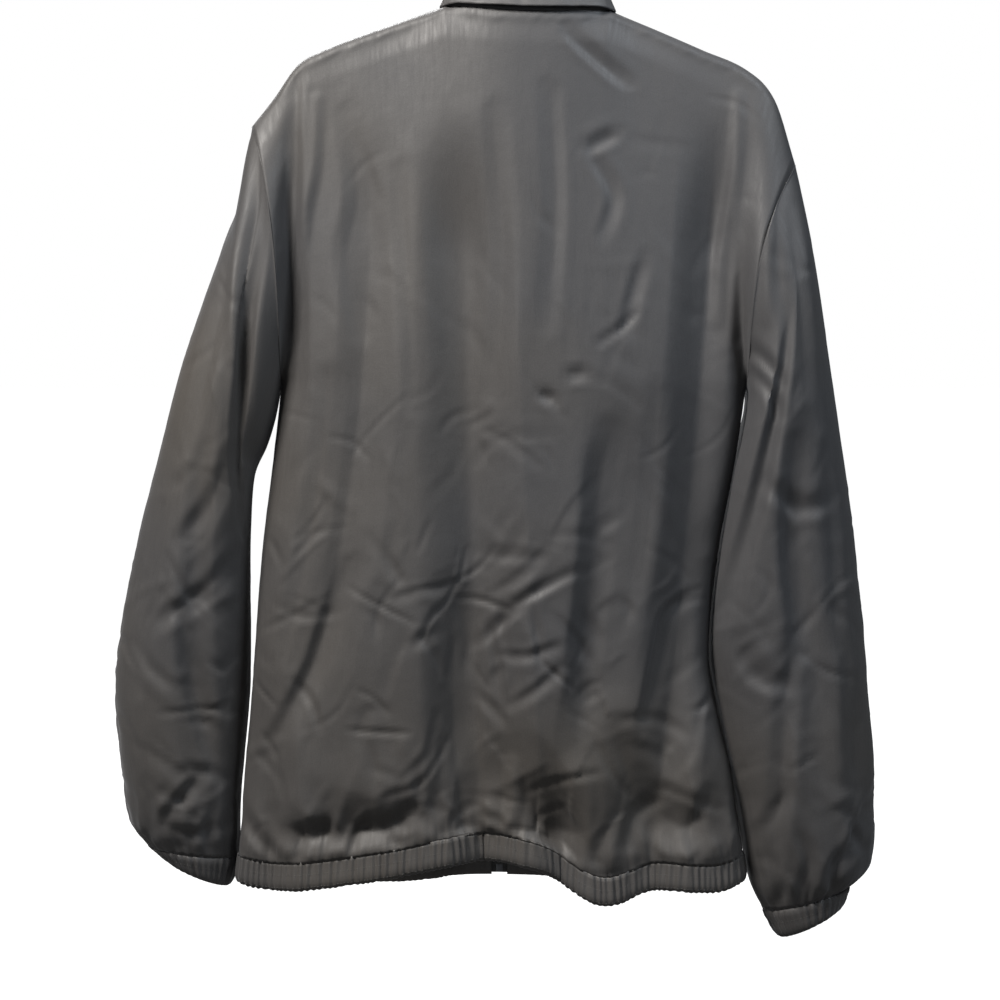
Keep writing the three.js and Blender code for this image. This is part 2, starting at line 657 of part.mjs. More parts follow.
// Keeps a point of a sleeve clear of the torso's side below the armpit.
function besideTorso(side, point) {
  const size = read(TORSO, "z", point.z);
  const middle = (size.left - size.right) / 2;
  const half = (size.left + size.right) / 2;
  const depth = (point.y > 0 ? size.back : size.front) + ARM_CLEARANCE;
  const share = clamp(1 - (Math.abs(point.y) / depth) ** TORSO_SQUARENESS, 0, 1) ** (1 / TORSO_SQUARENESS);
  const least = side * middle + half * share + ARM_CLEARANCE * share;
  const miss = least - point.x * side;
  const below = ease((ARMHOLE.right.footZ - point.z) / 7);
  if (miss > SOFTNESS) point.x += side * below * miss;
  else if (miss > -SOFTNESS) point.x += (side * below * (miss + SOFTNESS) ** 2) / (4 * SOFTNESS);
  return point;
}

function sleeve(side, turn, t) {
  const point = sleeveBase(side, turn, t);
  const row = read(side > 0 ? SLEEVE.left : SLEEVE.right, "t", t);
  const middle = vec((side * (row.outerX + row.innerX)) / 2, row.midY, (row.outerZ + row.innerZ) / 2);
  const depth = (side > 0 ? SLEEVE_FOLDS.left : SLEEVE_FOLDS.right).reduce((sum, fold) => {
    const share = clamp((t - fold.headT) / (fold.footT - fold.headT), 0, 1);
    const off = turn - mix(fold.headTurn, fold.footTurn, share);
    const near = Math.max(0, 1 - ((off - Math.round(off)) / fold.width) ** 2);
    return sum + fold.depth * near * near * Math.sin(Math.PI * share) ** 0.7;
  }, 0);
  const fade = ease(t / 0.06) * ease((1 - t) / 0.06);
  return besideTorso(side, point.addScaledVector(middle.sub(point).normalize(), depth * fade));
}

function sleeveNormal(side, turn, t) {
  if (t === 0) return armholeFrame(side, turn * 2 * Math.PI, -1).out;
  const row = read(side > 0 ? SLEEVE.left : SLEEVE.right, "t", t);
  const middle = vec((side * (row.outerX + row.innerX)) / 2, row.midY, (row.outerZ + row.innerZ) / 2);
  const outward = sleeveBase(side, turn, t).sub(middle);
  if (t === 1) {
    const along = sleeve(side, turn + 0.004, 1).sub(sleeve(side, turn - 0.004, 1));
    const across = vec(row.outerX - row.innerX, 0, side * (row.outerZ - row.innerZ));
    const normal = along.cross(vec(0, 1, 0).cross(across)).normalize();
    return normal.dot(outward) < 0 ? normal.negate() : normal;
  }
  return wayOut((a, b) => sleeve(side, a, clamp(b, 0, 1)), turn, t, outward);
}

function sleevePanel(side) {
  const half = HOLE_DEGREES.map((degrees) => degrees / 360).reverse();
  const columns = [...half, ...half.slice(1, -1).map((turn) => 1 - turn).reverse()];
  const places = [0, 0.03, 0.07, 0.12, 0.18, ...steps(0.25, 0.88, 8), 0.93, 0.97, 1];
  return clothWall(
    places.map((t) =>
      columns.map((atHole, i) => {
        const turn = mix(atHole, i / columns.length, ease((t - 0.03) / 0.22));
        const outer = sleeve(side, turn, t);
        const normal = sleeveNormal(side, turn, t);
        const angle = turn * 2 * Math.PI;
        if (t === 0) outer.addScaledVector(armholeFrame(side, angle).over, armholeGap(angle));
        return { outer, inner: outer.clone().addScaledVector(normal, -CLOTH) };
      }),
    ),
    true,
  );
}

// An elastic cuff, from the sleeve's last ring to its own open edge.
function cuffBand(side) {
  const edge = side > 0 ? CUFF.left : CUFF.right;
  const last = (side > 0 ? SLEEVE.left : SLEEVE.right).at(-1);
  const ringOf = (size, turn) => {
    const outer = vec(side * size.outerX, size.midY, size.outerZ);
    const inner = vec(side * size.innerX, size.midY, size.innerZ);
    const point = outer.clone().add(inner).multiplyScalar(0.5);
    const out = outer.sub(inner).multiplyScalar(0.5 * Math.cos(turn * 2 * Math.PI));
    out.y += size.halfDepth * Math.sin(turn * 2 * Math.PI);
    return { middle: point.clone(), outer: point.add(out) };
  };
  const count = CUFF_GATHERS * STEPS_PER_GATHER;
  const places = steps(0, 1, count).slice(0, -1);
  const axis = ringOf(edge, 0).middle.sub(ringOf(last, 0).middle).normalize();
  return clothWall(
    [last, edge].map((size, row) =>
      places.map((turn, i) => {
        const { middle, outer } = ringOf(size, turn);
        const normal = outer.clone().sub(middle).normalize();
        const wave = Math.cos((i / STEPS_PER_GATHER) * 2 * Math.PI);
        outer.addScaledVector(normal, GATHER_HEIGHT * (wave - 1) * 0.6);
        if (row === 0) outer.addScaledVector(axis, SEAM_GAP * 1.5);
        return { outer, inner: outer.clone().addScaledVector(normal, -CLOTH) };
      }),
    ),
    true,
  );
}

// The collar, from the neck seam up its stand, over the turn and down its fall.
function collar() {
  const up = vec(0, 0, 1);
  const outline = (angle) => {
    const forward = ease((Math.abs(angle) - 1.6) / 1.3);
    const stand = mix(COLLAR.stand, COLLAR.standFront, forward);
    const fall = stand - mix(COLLAR.edgeBack, COLLAR.edgeFront, forward);
    const lean = COLLAR.lean;
    const turn = COLLAR.turn;
    const lie = mix(COLLAR.flare, COLLAR.flareFront, forward);
    return [
      [0, 0],
      [-lean * 0.4, stand * 0.4],
      [-lean * 0.8, stand * 0.8],
      [-lean, stand],
      [-lean + turn * 0.5, stand + turn * 0.8],
      [-lean + turn * 1.4, stand + turn * 0.6],
      [-lean + turn * 2, stand - turn * 0.6],
      [mix(-lean + turn * 2, lie, mix(0.3, 0.6, forward)), stand - fall * mix(0.45, 0.35, forward)],
      [mix(-lean + turn * 2, lie, mix(0.65, 0.9, forward)), stand - fall * mix(0.78, 0.7, forward)],
      [lie + 1.5, stand - fall],
    ];
  };
  const place = (angle, [out, high]) => {
    const foot = neckPoint(angle);
    const away = vec(Math.sin(angle), Math.cos(angle), 0);
    return foot.addScaledVector(away, out).addScaledVector(up, high);
  };
  const toAngle = (across) => (across / NECK_SHARE) * (Math.PI / 2);
  const back = backColumns().filter((across) => Math.abs(across) < NECK_SHARE + 0.01).map(toAngle);
  const front = (side) =>
    frontColumns(side, 1)
      .slice(SHOULDER_COLUMNS + 1)
      .map((across) => side * Math.PI - toAngle(across));
  const angles = [...front(-1).reverse(), ...back, ...front(1)];
  const rows = angles.map((angle) => {
    const line = outline(angle).map((mark) => place(angle, mark));
    line[0].addScaledVector(neckFrame(angle).over, SEAM_GAP);
    const next = outline(angle).map((mark) => place(angle + 0.01, mark));
    return line.map((point, i) => {
      const along = next[i].clone().sub(place(angle - 0.01, outline(angle)[i]));
      const onward = line[Math.min(i + 1, line.length - 1)].clone().sub(line[Math.max(i - 1, 0)]);
      const normal = i === 0 ? neckFrame(angle).out : onward.cross(along).normalize();
      return { outer: point, normal, inner: null };
    });
  });
  // The outline is the stand's outer side and the fall's inner side. The wall's thickness lies on the neck's
  // side of the stand, and on the outside of the fall.
  rows.forEach((row, r) => {
    const away = vec(Math.sin(angles[r]), Math.cos(angles[r]), 0);
    row.forEach((station, i) => {
      if (i !== 1 || station.normal.dot(away) >= 0) return;
      row.slice(1).forEach((other) => other.normal.negate());
    });
    row.forEach((station) => {
      station.inner = station.outer.clone().addScaledVector(station.normal, -CLOTH);
    });
  });
  return clothWall(rows);
}

// A strip of the zip between two distances beside its middle, with its outer side proud of the front. Each
// place along it is a rise and a drop below that.
function zipStrip(offsets, proud, thickness, places) {
  return clothWall(
    places.map(({ rise, drop }) =>
      offsets.map((offset) => {
        const across = besideZip(offset, rise);
        const normal = torsoNormal(-1, across, rise);
        const outer = torso(-1, across, rise).addScaledVector(normal, proud);
        outer.z -= drop;
        return { outer, inner: outer.clone().addScaledVector(normal, -thickness) };
      }),
    ),
  );
}

// The places of a strip from a drop below the hem's seam up to the last row under its top.
function zipPlaces(drop, top) {
  return [{ rise: -1, drop }, ...RISES.filter((rise) => rise < top).map((rise) => ({ rise, drop: 0 }))];
}

function solidOf(geometry) {
  return new wasm.Manifold(
    new wasm.Mesh({
      numProp: 3,
      vertProperties: new Float32Array(geometry.attributes.position.array),
      triVerts: new Uint32Array(geometry.index.array),
    }),
  );
}

function geometryOf(solid) {
  const mesh = solid.getMesh();
  const geometry = new THREE.BufferGeometry();
  geometry.setAttribute("position", new THREE.BufferAttribute(new Float32Array(mesh.vertProperties), 3));
  geometry.setIndex(new THREE.BufferAttribute(new Uint32Array(mesh.triVerts), 1));
  return geometry;
}

// A box as a loft, so that its corners are shared: x and y centred, z from low to high.
function block(width, depth, low, high, x = 0, y = 0) {
  const ring = (z) =>
    [
      [-1, -1],
      [1, -1],
      [1, 1],
      [-1, 1],
    ].map(([a, b]) => vec(x + (a * width) / 2, y + (b * depth) / 2, z));
  return loft([ring(low), ring(high)]);
}

// The hanger: two arms in one piece, and a hook on a stem.
function hanger() {
  const sides = 10;
  const topZ = (x) => {
    const out = Math.abs(x);
    const dip = HANGER.dip * ease((NECK.halfWidth + 36 - out) / 30);
    const shoulder = shoulderZ(Math.sign(x) * Math.max(out, NECK.halfWidth));
    const onArm = shoulder - CLOTH - SEAM_GAP - HANGER.clearance - dip;
    return out >= NECK.halfWidth ? onArm : mix(HANGER.apexZ, onArm, (out / NECK.halfWidth) ** 1.6);
  };
  const arms = loft(
    steps(-HANGER.reach, HANGER.reach, 28).map((x) => {
      const tip = ease((HANGER.reach - Math.abs(x)) / 12 + 0.25);
      const half = mix(HANGER.neckThickness, HANGER.thickness, ease((Math.abs(x) - NECK.halfWidth) / 40)) / 2;
      return Array.from({ length: sides }, (_, i) => {
        const angle = (i / sides) * 2 * Math.PI + Math.PI / sides;
        const reach = Math.cos(angle) > 0 ? half : HANGER.depth - half;
        const high = reach * Math.cos(angle) - half;
        return vec(x, half * tip * Math.sin(angle), topZ(x) + mix(-half, high, tip));
      });
    }),
  );
  const r = HANGER.hookRadius + HANGER.hookBar;
  const centre = -HANGER.hookRadius;
  const route = new THREE.CatmullRomCurve3([
    vec(0, 0, HANGER.apexZ - 6),
    vec(0, 0, HANGER.stemZ - 4),
    vec(1.5, 0, HANGER.stemZ + 6),
    ...steps(-0.62, 3.5, 9).map((angle) => vec(r * Math.cos(angle), 0, centre + r * Math.sin(angle))),
  ]);
  const count = 34;
  const hook = loft(
    steps(0, 1, count).map((share) => {
      const point = route.getPoint(share);
      const along = route.getTangent(share);
      const flat = vec(0, 1, 0);
      const other = along.clone().cross(flat).normalize();
      return Array.from({ length: 8 }, (_, i) => {
        const angle = (i / 8) * 2 * Math.PI;
        return point
          .clone()
          .addScaledVector(flat, HANGER.hookBar * Math.cos(angle))
          .addScaledVector(other, HANGER.hookBar * Math.sin(angle));
      });
    }),
  );
  return geometryOf(solidOf(arms).add(solidOf(hook)));
}

// The place of the slider: its middle on the chain's front, where a group holds it and its pull.
function sliderPlace() {
  const point = torso(-1, 0, ZIP_TOP);
  const low = torso(-1, 0, ZIP_TOP - 0.05);
  return { point, lean: Math.atan2(point.y - low.y, point.z - low.z) };
}

function slider() {
  const y = -(ZIP.chainProud + SEAM_GAP + SLIDER.plate / 2);
  const half = SLIDER.length / 2;
  const plate = block(SLIDER.width, SLIDER.plate, -half, half, 0, y);
  const face = y - SLIDER.plate / 2;
  // The posts start a little inside the plate, so that the two join.
  const sink = 0.2;
  const bridgeHalf = SLIDER.bridgeLength / 2;
  const postY = face - SLIDER.bridgeRise / 2 + sink / 2;
  const post = (low, high) => block(SLIDER.bridgeWidth, SLIDER.bridgeRise + sink, low, high, 0, postY);
  const bar = block(
    SLIDER.bridgeWidth,
    SLIDER.bridgeBar,
    -bridgeHalf,
    bridgeHalf,
    0,
    face - SLIDER.bridgeRise + SLIDER.bridgeBar / 2,
  );
  return geometryOf(
    solidOf(plate)
      .add(solidOf(post(-bridgeHalf, SLIDER.post - bridgeHalf)))
      .add(solidOf(post(bridgeHalf - SLIDER.post, bridgeHalf)))
      .add(solidOf(bar)),
  );
}

// The pull tab hangs from a crossbar under the slider's bridge, and turns about the crossbar.
function pullTab() {
  const faceY = -(ZIP.chainProud + SEAM_GAP + SLIDER.plate);
  const y = faceY - (SLIDER.bridgeRise - SLIDER.bridgeBar) / 2;
  const top = PULL.crossbar / 2;
  const sheet = block(PULL.width, PULL.thickness, top - PULL.length, top, 0, y);
  const windowTop = top - PULL.crossbar;
  const gap = block(PULL.window, PULL.thickness * 3, windowTop - PULL.windowLength, windowTop, 0, y);
  return geometryOf(solidOf(sheet).subtract(solidOf(gap)));
}

const nylon = new THREE.MeshStandardMaterial({ color: 0x45433f, roughness: 0.62, metalness: 0 });
const webbing = new THREE.MeshStandardMaterial({ color: 0x2c2b2a, roughness: 0.85, metalness: 0 });
const metal = new THREE.MeshStandardMaterial({ color: 0x3a3a3c, roughness: 0.35, metalness: 0.9 });
const plastic = new THREE.MeshStandardMaterial({ color: 0x1d1d1f, roughness: 0.4, metalness: 0 });

const garment = new THREE.Group();

function add(name, geometry, material, parent = garment) {
  const mesh = new THREE.Mesh(geometry, material);
  mesh.name = name;
  parent.add(mesh);
  return mesh;
}

add("back", backPanel(), nylon);
for (const [name, side] of Object.entries(SIDES)) {
  add(`front_${name}`, frontPanel(side), nylon);
  add(`sleeve_${name}`, sleevePanel(side), nylon);
  add(`cuff_${name}`, cuffBand(side), nylon);
  const near = side * (ZIP.chain / 2 + SEAM_GAP);
  const under = -(CLOTH + 2 * SEAM_GAP);
  const tapePlaces = zipPlaces(HEM_BAND - BOX.aboveEdge, 0.99);
  add(`zip_tape_${name}`, zipStrip([near, side * ZIP.tapeReach], under, ZIP.tape, tapePlaces), webbing);
}
add("hem_band", hemBand(), nylon);
add("collar", collar(), nylon);
const chainEdges = [-ZIP.chain / 2, ZIP.chain / 2];
const boxFoot = HEM_BAND - BOX.aboveEdge;
const boxHead = boxFoot - BOX.length;
const chainPlaces = zipPlaces(boxHead - SEAM_GAP, 0.97);
add("zip_chain", zipStrip(chainEdges, ZIP.chainProud, ZIP.chainThickness, chainPlaces), metal);
const boxPlaces = [boxFoot, boxHead].map((drop) => ({ rise: -1, drop }));
add("zip_box", zipStrip([-BOX.halfWidth, BOX.halfWidth], BOX.proud, BOX.thickness, boxPlaces), metal);

const place = sliderPlace();
const closure = new THREE.Group();
closure.position.copy(place.point);
closure.rotation.x = -place.lean;
garment.add(closure);
add("zip_slider", slider(), metal, closure);
add("zip_pull", pullTab(), metal, closure);

add("hanger", hanger(), plastic);

export default garment;
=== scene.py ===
"""The looks of a windbreaker on its hanger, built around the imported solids.

Sizes in the tables are millimetres, as in the part's source. X runs to the wearer's left, Y to the back and
Z up, and the origin is the inside of the hook's crown.
"""

from __future__ import annotations

import json
import logging
import math
from dataclasses import dataclass, field
from enum import Enum

import bpy
import numpy as np
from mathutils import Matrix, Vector

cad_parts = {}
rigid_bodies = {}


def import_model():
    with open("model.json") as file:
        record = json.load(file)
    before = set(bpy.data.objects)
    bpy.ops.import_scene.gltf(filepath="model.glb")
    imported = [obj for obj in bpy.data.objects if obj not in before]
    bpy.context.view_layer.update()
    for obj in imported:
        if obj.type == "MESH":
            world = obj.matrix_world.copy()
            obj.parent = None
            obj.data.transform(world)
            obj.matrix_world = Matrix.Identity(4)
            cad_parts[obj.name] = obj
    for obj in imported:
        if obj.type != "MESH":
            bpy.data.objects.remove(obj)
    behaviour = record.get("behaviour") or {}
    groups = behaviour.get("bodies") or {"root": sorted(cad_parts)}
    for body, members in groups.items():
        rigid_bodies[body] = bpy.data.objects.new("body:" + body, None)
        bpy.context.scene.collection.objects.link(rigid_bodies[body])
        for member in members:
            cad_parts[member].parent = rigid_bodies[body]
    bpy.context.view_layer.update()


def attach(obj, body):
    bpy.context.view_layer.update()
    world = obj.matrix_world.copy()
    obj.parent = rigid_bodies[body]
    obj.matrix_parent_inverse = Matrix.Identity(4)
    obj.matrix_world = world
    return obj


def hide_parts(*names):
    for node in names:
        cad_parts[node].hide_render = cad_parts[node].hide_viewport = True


LOG = logging.getLogger("windbreaker")

MM = 0.001
CLOTH = 0.45
HALF_GIRTH = 250.0
HEM_TO_ARMPIT = 417.0
ARM_LENGTH = 600.0
ARM_GIRTH = 230.0
ZIP_HALF = 7.0
GARMENT = "garment"


class Side(Enum):
    """The wearer's sides, as the sign of X."""

    LEFT = 1
    RIGHT = -1


class Face(Enum):
    """The two faces of the torso, as the sign of Y."""

    BACK = 1
    FRONT = -1


def ease(value: np.ndarray) -> np.ndarray:
    """Returns a smooth step from 0 at 0 to 1 at 1."""
    v = np.clip(value, 0.0, 1.0)
    return v * v * (3.0 - 2.0 * v)


def ramp(value: np.ndarray) -> np.ndarray:
    """Returns a straight step from 0 at 0 to 1 at 1, with its corners a little rounded."""
    return 0.6 * np.clip(value, 0.0, 1.0) + 0.4 * ease(value)


def mix(a: np.ndarray, b: np.ndarray, share: np.ndarray) -> np.ndarray:
    """Returns the place at a share of the way from a to b."""
    return a + (b - a) * share


def join(x: np.ndarray, y: np.ndarray, z: np.ndarray) -> np.ndarray:
    """Returns points from their three parts."""
    return np.stack(np.broadcast_arrays(x, y, z), axis=-1).astype(float)


def unit(vectors: np.ndarray) -> np.ndarray:
    """Returns vectors of length one."""
    return vectors / np.maximum(np.linalg.norm(vectors, axis=-1, keepdims=True), 1e-9)


@dataclass(frozen=True)
class Table:
    """Rows of sizes by a key, read on a smooth curve through the rows."""

    columns: tuple[str, ...]
    rows: tuple[tuple[float, ...], ...]

    def read(self, at: np.ndarray) -> dict[str, np.ndarray]:
        """Reads every column.

        Args:
            at: Places along the first column, the key.

        Returns:
            The columns' values at those places, by name.
        """
        data = np.array(sorted(self.rows), dtype=float)
        keys = data[:, 0]
        place = np.clip(at, keys[0], keys[-1])
        i = np.clip(np.searchsorted(keys[1:], place, side="left"), 0, len(keys) - 2)
        a, b = data[i], data[i + 1]
        before, after = data[np.maximum(i - 1, 0)], data[np.minimum(i + 2, len(keys) - 1)]
        span = (b - a)[..., :1]
        share = (place - a[..., 0])[..., None] / span
        slope_a = (b - before) / (b - before)[..., :1] * span
        slope_b = (after - a) / (after - a)[..., :1] * span
        s2, s3 = share**2, share**3
        found = (2 * s3 - 3 * s2 + 1) * a + (s3 - 2 * s2 + share) * slope_a
        found = found + (3 * s2 - 2 * s3) * b + (s3 - s2) * slope_b
        return {name: found[..., column] for column, name in enumerate(self.columns)}


def through(knots: np.ndarray, per_span: int) -> np.ndarray:
    """Runs a smooth line through knots.

    Args:
        knots: Rows of knots, each knot a point.
        per_span: Places to a span.

    Returns:
        Rows of places along the smooth lines.
    """
    first, last = 2 * knots[:, :1] - knots[:, 1:2], 2 * knots[:, -1:] - knots[:, -2:-1]
    padded = np.concatenate([first, knots, last], axis=1)
    places = []
    for i in range(1, padded.shape[1] - 2):
        p0, p1, p2, p3 = (padded[:, i + step] for step in (-1, 0, 1, 2))
        for t in np.linspace(0, 1, per_span, endpoint=False):
            near = 2 * p1 + (p2 - p0) * t + (2 * p0 - 5 * p1 + 4 * p2 - p3) * t**2
            places.append((near + (3 * p1 - p0 - 3 * p2 + p3) * t**3) / 2)
    return np.stack([*places, knots[:, -1]], axis=1)


class Noise:
    """Smooth seeded noise over a plane, from -1 to 1."""

    SIZE = 256

    def __init__(self, seed: int) -> None:
        """Makes the lattice of slopes.

        Args:
            seed: The fixed seed.
        """
        maker = np.random.default_rng(seed)
        angle = maker.uniform(0, 2 * math.pi, (self.SIZE, self.SIZE))
        self.slope = np.stack([np.cos(angle), np.sin(angle)], axis=-1)

    def at(self, u: np.ndarray, v: np.ndarray) -> np.ndarray:
        """Reads the noise.

        Args:
            u: Places across, one lattice field a unit.
            v: Places along.

        Returns:
            The noise at those places.
        """
        u, v = np.broadcast_arrays(np.asarray(u, float), np.asarray(v, float))
        iu, iv = np.floor(u).astype(int), np.floor(v).astype(int)
        fu, fv = u - iu, v - iv
        total = np.zeros(u.shape)
        for du in (0, 1):
            for dv in (0, 1):
                slope = self.slope[(iu + du) % self.SIZE, (iv + dv) % self.SIZE]
                weight = ease(1 - np.abs(fu - du)) * ease(1 - np.abs(fv - dv))
                total += weight * (slope[..., 0] * (fu - du) + slope[..., 1] * (fv - dv))
        return total * 1.6


@dataclass(frozen=True)
class Fold:
    """A large fold of the torso: its line's three places (x, z), its slope, its drop and the way back."""

    head: tuple[float, float]
    waist: tuple[float, float]
    foot: tuple[float, float]
    face: float
    drop: float
    rest: float

    END = 130.0

    def depth(self, x: np.ndarray, z: np.ndarray) -> np.ndarray:
        """Finds how far the fold takes the cloth in.

        Args:
            x: Places across.
            z: Their heights.

        Returns:
            The depth in millimetres.
        """
        share = np.clip((self.head[1] - z) / (self.head[1] - self.foot[1]), 0, 1)
        bow = (self.head[1] - self.waist[1]) / (self.head[1] - self.foot[1])
        line = self.head[0] * (share - bow) * (share - 1) / bow
        line = line + self.waist[0] * share * (share - 1) / (bow * (bow - 1))
        line = line + self.foot[0] * share * (share - bow) / (1 - bow)
        past = (line - x) * math.copysign(1, self.drop)
        into = ramp((past + self.face) / (2 * self.face))
        back = ramp((past - self.face) / self.rest)
        ends = ease((self.head[1] - z) / self.END) * ease((z - self.foot[1]) / self.END + 0.5)
        return abs(self.drop) * (into - back) * ends


@dataclass(frozen=True)
class Crease:
    """A soft trough along places (x, z), or a ridge where its depth is negative.

    Its steep side is the one on the left of its way, for a skew over 0.
    """

    path: tuple[tuple[float, float], ...]
    width: float
    depth: float
    skew: float = 0.0

    def line(self) -> np.ndarray:
        """Returns the smooth line through the path's places."""
        return through(np.array([self.path], dtype=float), 6)[0]

    def sink(self, x: np.ndarray, z: np.ndarray) -> np.ndarray:
        """Finds how far the crease takes the cloth in.

        Args:
            x: Places across.
            z: Their heights.

        Returns:
            The depth in millimetres, below zero on the small rise beside a trough.
        """
        line = self.line()
        reach = self.width * 2.2
        low, high = line.min(axis=0) - reach, line.max(axis=0) + reach
        found = np.zeros(x.shape)
        inside = (x > low[0]) & (x < high[0]) & (z > low[1]) & (z < high[1])
        if not inside.any():
            return found
        point = np.stack([x[inside], z[inside]], axis=-1)[:, None]
        start, way = line[:-1], np.diff(line, axis=0)
        length = np.linalg.norm(way, axis=1)
        share = np.clip(((point - start) * way).sum(-1) / length**2, 0, 1)
        off = point - (start + way * share[..., None])
        distance = np.linalg.norm(off, axis=-1)
        nearest = distance.argmin(axis=1)
        pick = np.arange(len(nearest))
        gone = np.concatenate([[0], np.cumsum(length)])
        along = (gone[nearest] + share[pick, nearest] * length[nearest]) / gone[-1]
        side = np.sign(way[nearest, 0] * off[pick, nearest, 1] - way[nearest, 1] * off[pick, nearest, 0])
        d = distance[pick, nearest] / (self.width * (1 - 0.55 * self.skew * side))
        trough = 0.35 * np.clip(1 - d**2, 0, 1) ** 2 + 0.65 * np.clip(1 - d, 0, 1)
        lip = np.clip(1 - ((d - 1.25) / 0.75) ** 2, 0, 1) ** 2
        taper = np.sin(math.pi * np.clip(0.04 + 0.92 * along, 0, 1)) ** 0.6
        found[inside] = self.depth * (trough - 0.13 * lip) * taper
        return found


def creases(
    width: float, depth: float, skew: float, *paths: tuple[tuple[float, float], ...]
) -> tuple[Crease, ...]:
    """Returns creases of one width, depth and skew along several paths."""
    return tuple(Crease(path, width, depth, skew) for path in paths)


TORSO = Table(
    ("z", "left", "right", "back", "front"),
    (
        (-412, 215, 192, 56, 54),
        (-481, 223, 182, 58, 56),
        (-560, 233, 168, 60, 58),
        (-648, 240, 160, 60, 58),
        (-701, 244, 168, 58, 56),
        (-754, 249, 179, 56, 54),
        (-800, 252, 186, 52, 50),
        (-835, 255, 191, 46, 44),
        (-880, 251, 190, 44, 42),
    ),
)
HEM_SEAM = {
    Face.BACK: Table(
        ("across", "z"),
        (
            (-0.93, -828),
            (-0.8, -834),
            (-0.58, -832),
            (-0.38, -843),
            (-0.16, -812),
            (0.08, -806),
            (0.38, -820),
            (0.75, -833),
            (0.93, -829),
        ),
    ),
    Face.FRONT: Table(
        ("across", "z"),
        ((-0.93, -828), (-0.5, -836), (-0.1, -832), (0.1, -832), (0.5, -838), (0.93, -829)),
    ),
}
ZIP_LINE = Table(("rise", "across"), ((-1.3, -0.035), (-0.4, -0.02), (0.4, 0.0), (1, 0.0)))
SHOULDER = {
    Side.LEFT: Table(
        ("out", "z"), ((72, -85), (128, -104), (175, -121.5), (200, -135), (221, -164), (240, -188))
    ),
    Side.RIGHT: Table(
        ("out", "z"), ((72, -89), (111, -104.5), (152, -122), (192, -140), (216, -166), (234, -222))
    ),
}
SLEEVE_COLUMNS = ("t", "outer_x", "outer_z", "inner_x", "inner_z", "mid_y", "half_depth")
SLEEVE = {
    Side.LEFT: Table(
        SLEEVE_COLUMNS,
        (
            (0, 240, -188, 213, -415, 0, 42),
            (0.09, 251, -252, 219, -440, 0, 50),
            (0.18, 267, -295, 229, -468, -1, 55),
            (0.27, 284, -342, 240, -494, -2, 58),
            (0.38, 306, -406, 244, -541, -4, 60),
            (0.5, 326, -482, 245, -588, -7, 60),
            (0.62, 345, -560, 245, -636, -10, 60),
            (0.73, 361, -640, 246, -682, -13, 59),
            (0.82, 365, -695, 249, -722, -15, 58),
            (0.9, 360, -757, 253, -766, -16, 54),
            (0.96, 352, -800, 256, -804, -16, 47),
            (1, 337, -822, 257, -832, -16, 36),
        ),
    ),
    Side.RIGHT: Table(
        SLEEVE_COLUMNS,
        (
            (0, 234, -222, 190, -415, 0, 42),
            (0.09, 246, -276, 190, -438, 0, 50),
            (0.18, 255, -326, 184, -466, -2, 56),
            (0.27, 263, -376, 175, -496, -5, 59),
            (0.38, 274, -446, 166, -540, -9, 61),
            (0.5, 285, -520, 158, -590, -12, 61),
            (0.62, 294, -598, 156, -640, -14, 61),
            (0.73, 302, -672, 163, -693, -16, 60),
            (0.82, 308, -740, 174, -750, -17, 58),
            (0.9, 309, -796, 188, -806, -18, 54),
            (0.96, 305, -838, 198, -852, -18, 46),
            (1, 287, -859, 212, -881, -18, 34),
        ),
    ),
}


@dataclass(frozen=True)
class Hole:
    """An armhole: its tip on the shoulder and its foot under the arm."""

    tip_x: float
    tip_z: float
    foot_x: float
    foot_z: float = -415.0
    half_depth: float = 42.0


HOLES = {Side.LEFT: Hole(240, -188, 215), Side.RIGHT: Hole(234, -222, 192)}

FOLDS = {
    Face.BACK: (
        Fold((84, -175), (70, -490), (50, -880), 15, 23, 52),
        Fold((150, -175), (150, -330), (205, -690), 13, 9, 34),
        Fold((-150, -165), (-124, -510), (-84, -880), 17, 16, 34),
        Fold((-66, -400), (-54, -575), (-36, -710), 14, 14, 40),
        Fold((10, -690), (-8, -780), (-14, -900), 16, 12, 26),
        Fold((222, -640), (214, -730), (212, -880), 14, -9, 40),
        Fold((206, -150), (200, -250), (196, -400), 8, -13, 26),
        Fold((-190, -170), (-188, -270), (-180, -400), 7, 11, 18),
    ),
    Face.FRONT: (
        Fold((120, -220), (116, -480), (132, -880), 16, 12, 48),
        Fold((-96, -240), (-90, -520), (-72, -880), 16, -15, 46),
        Fold((196, -170), (190, -320), (196, -640), 11, -12, 26),
        Fold((-186, -190), (-176, -300), (-130, -620), 10, 12, 22),
        Fold((70, -560), (76, -690), (60, -900), 14, -7, 36),
    ),
}


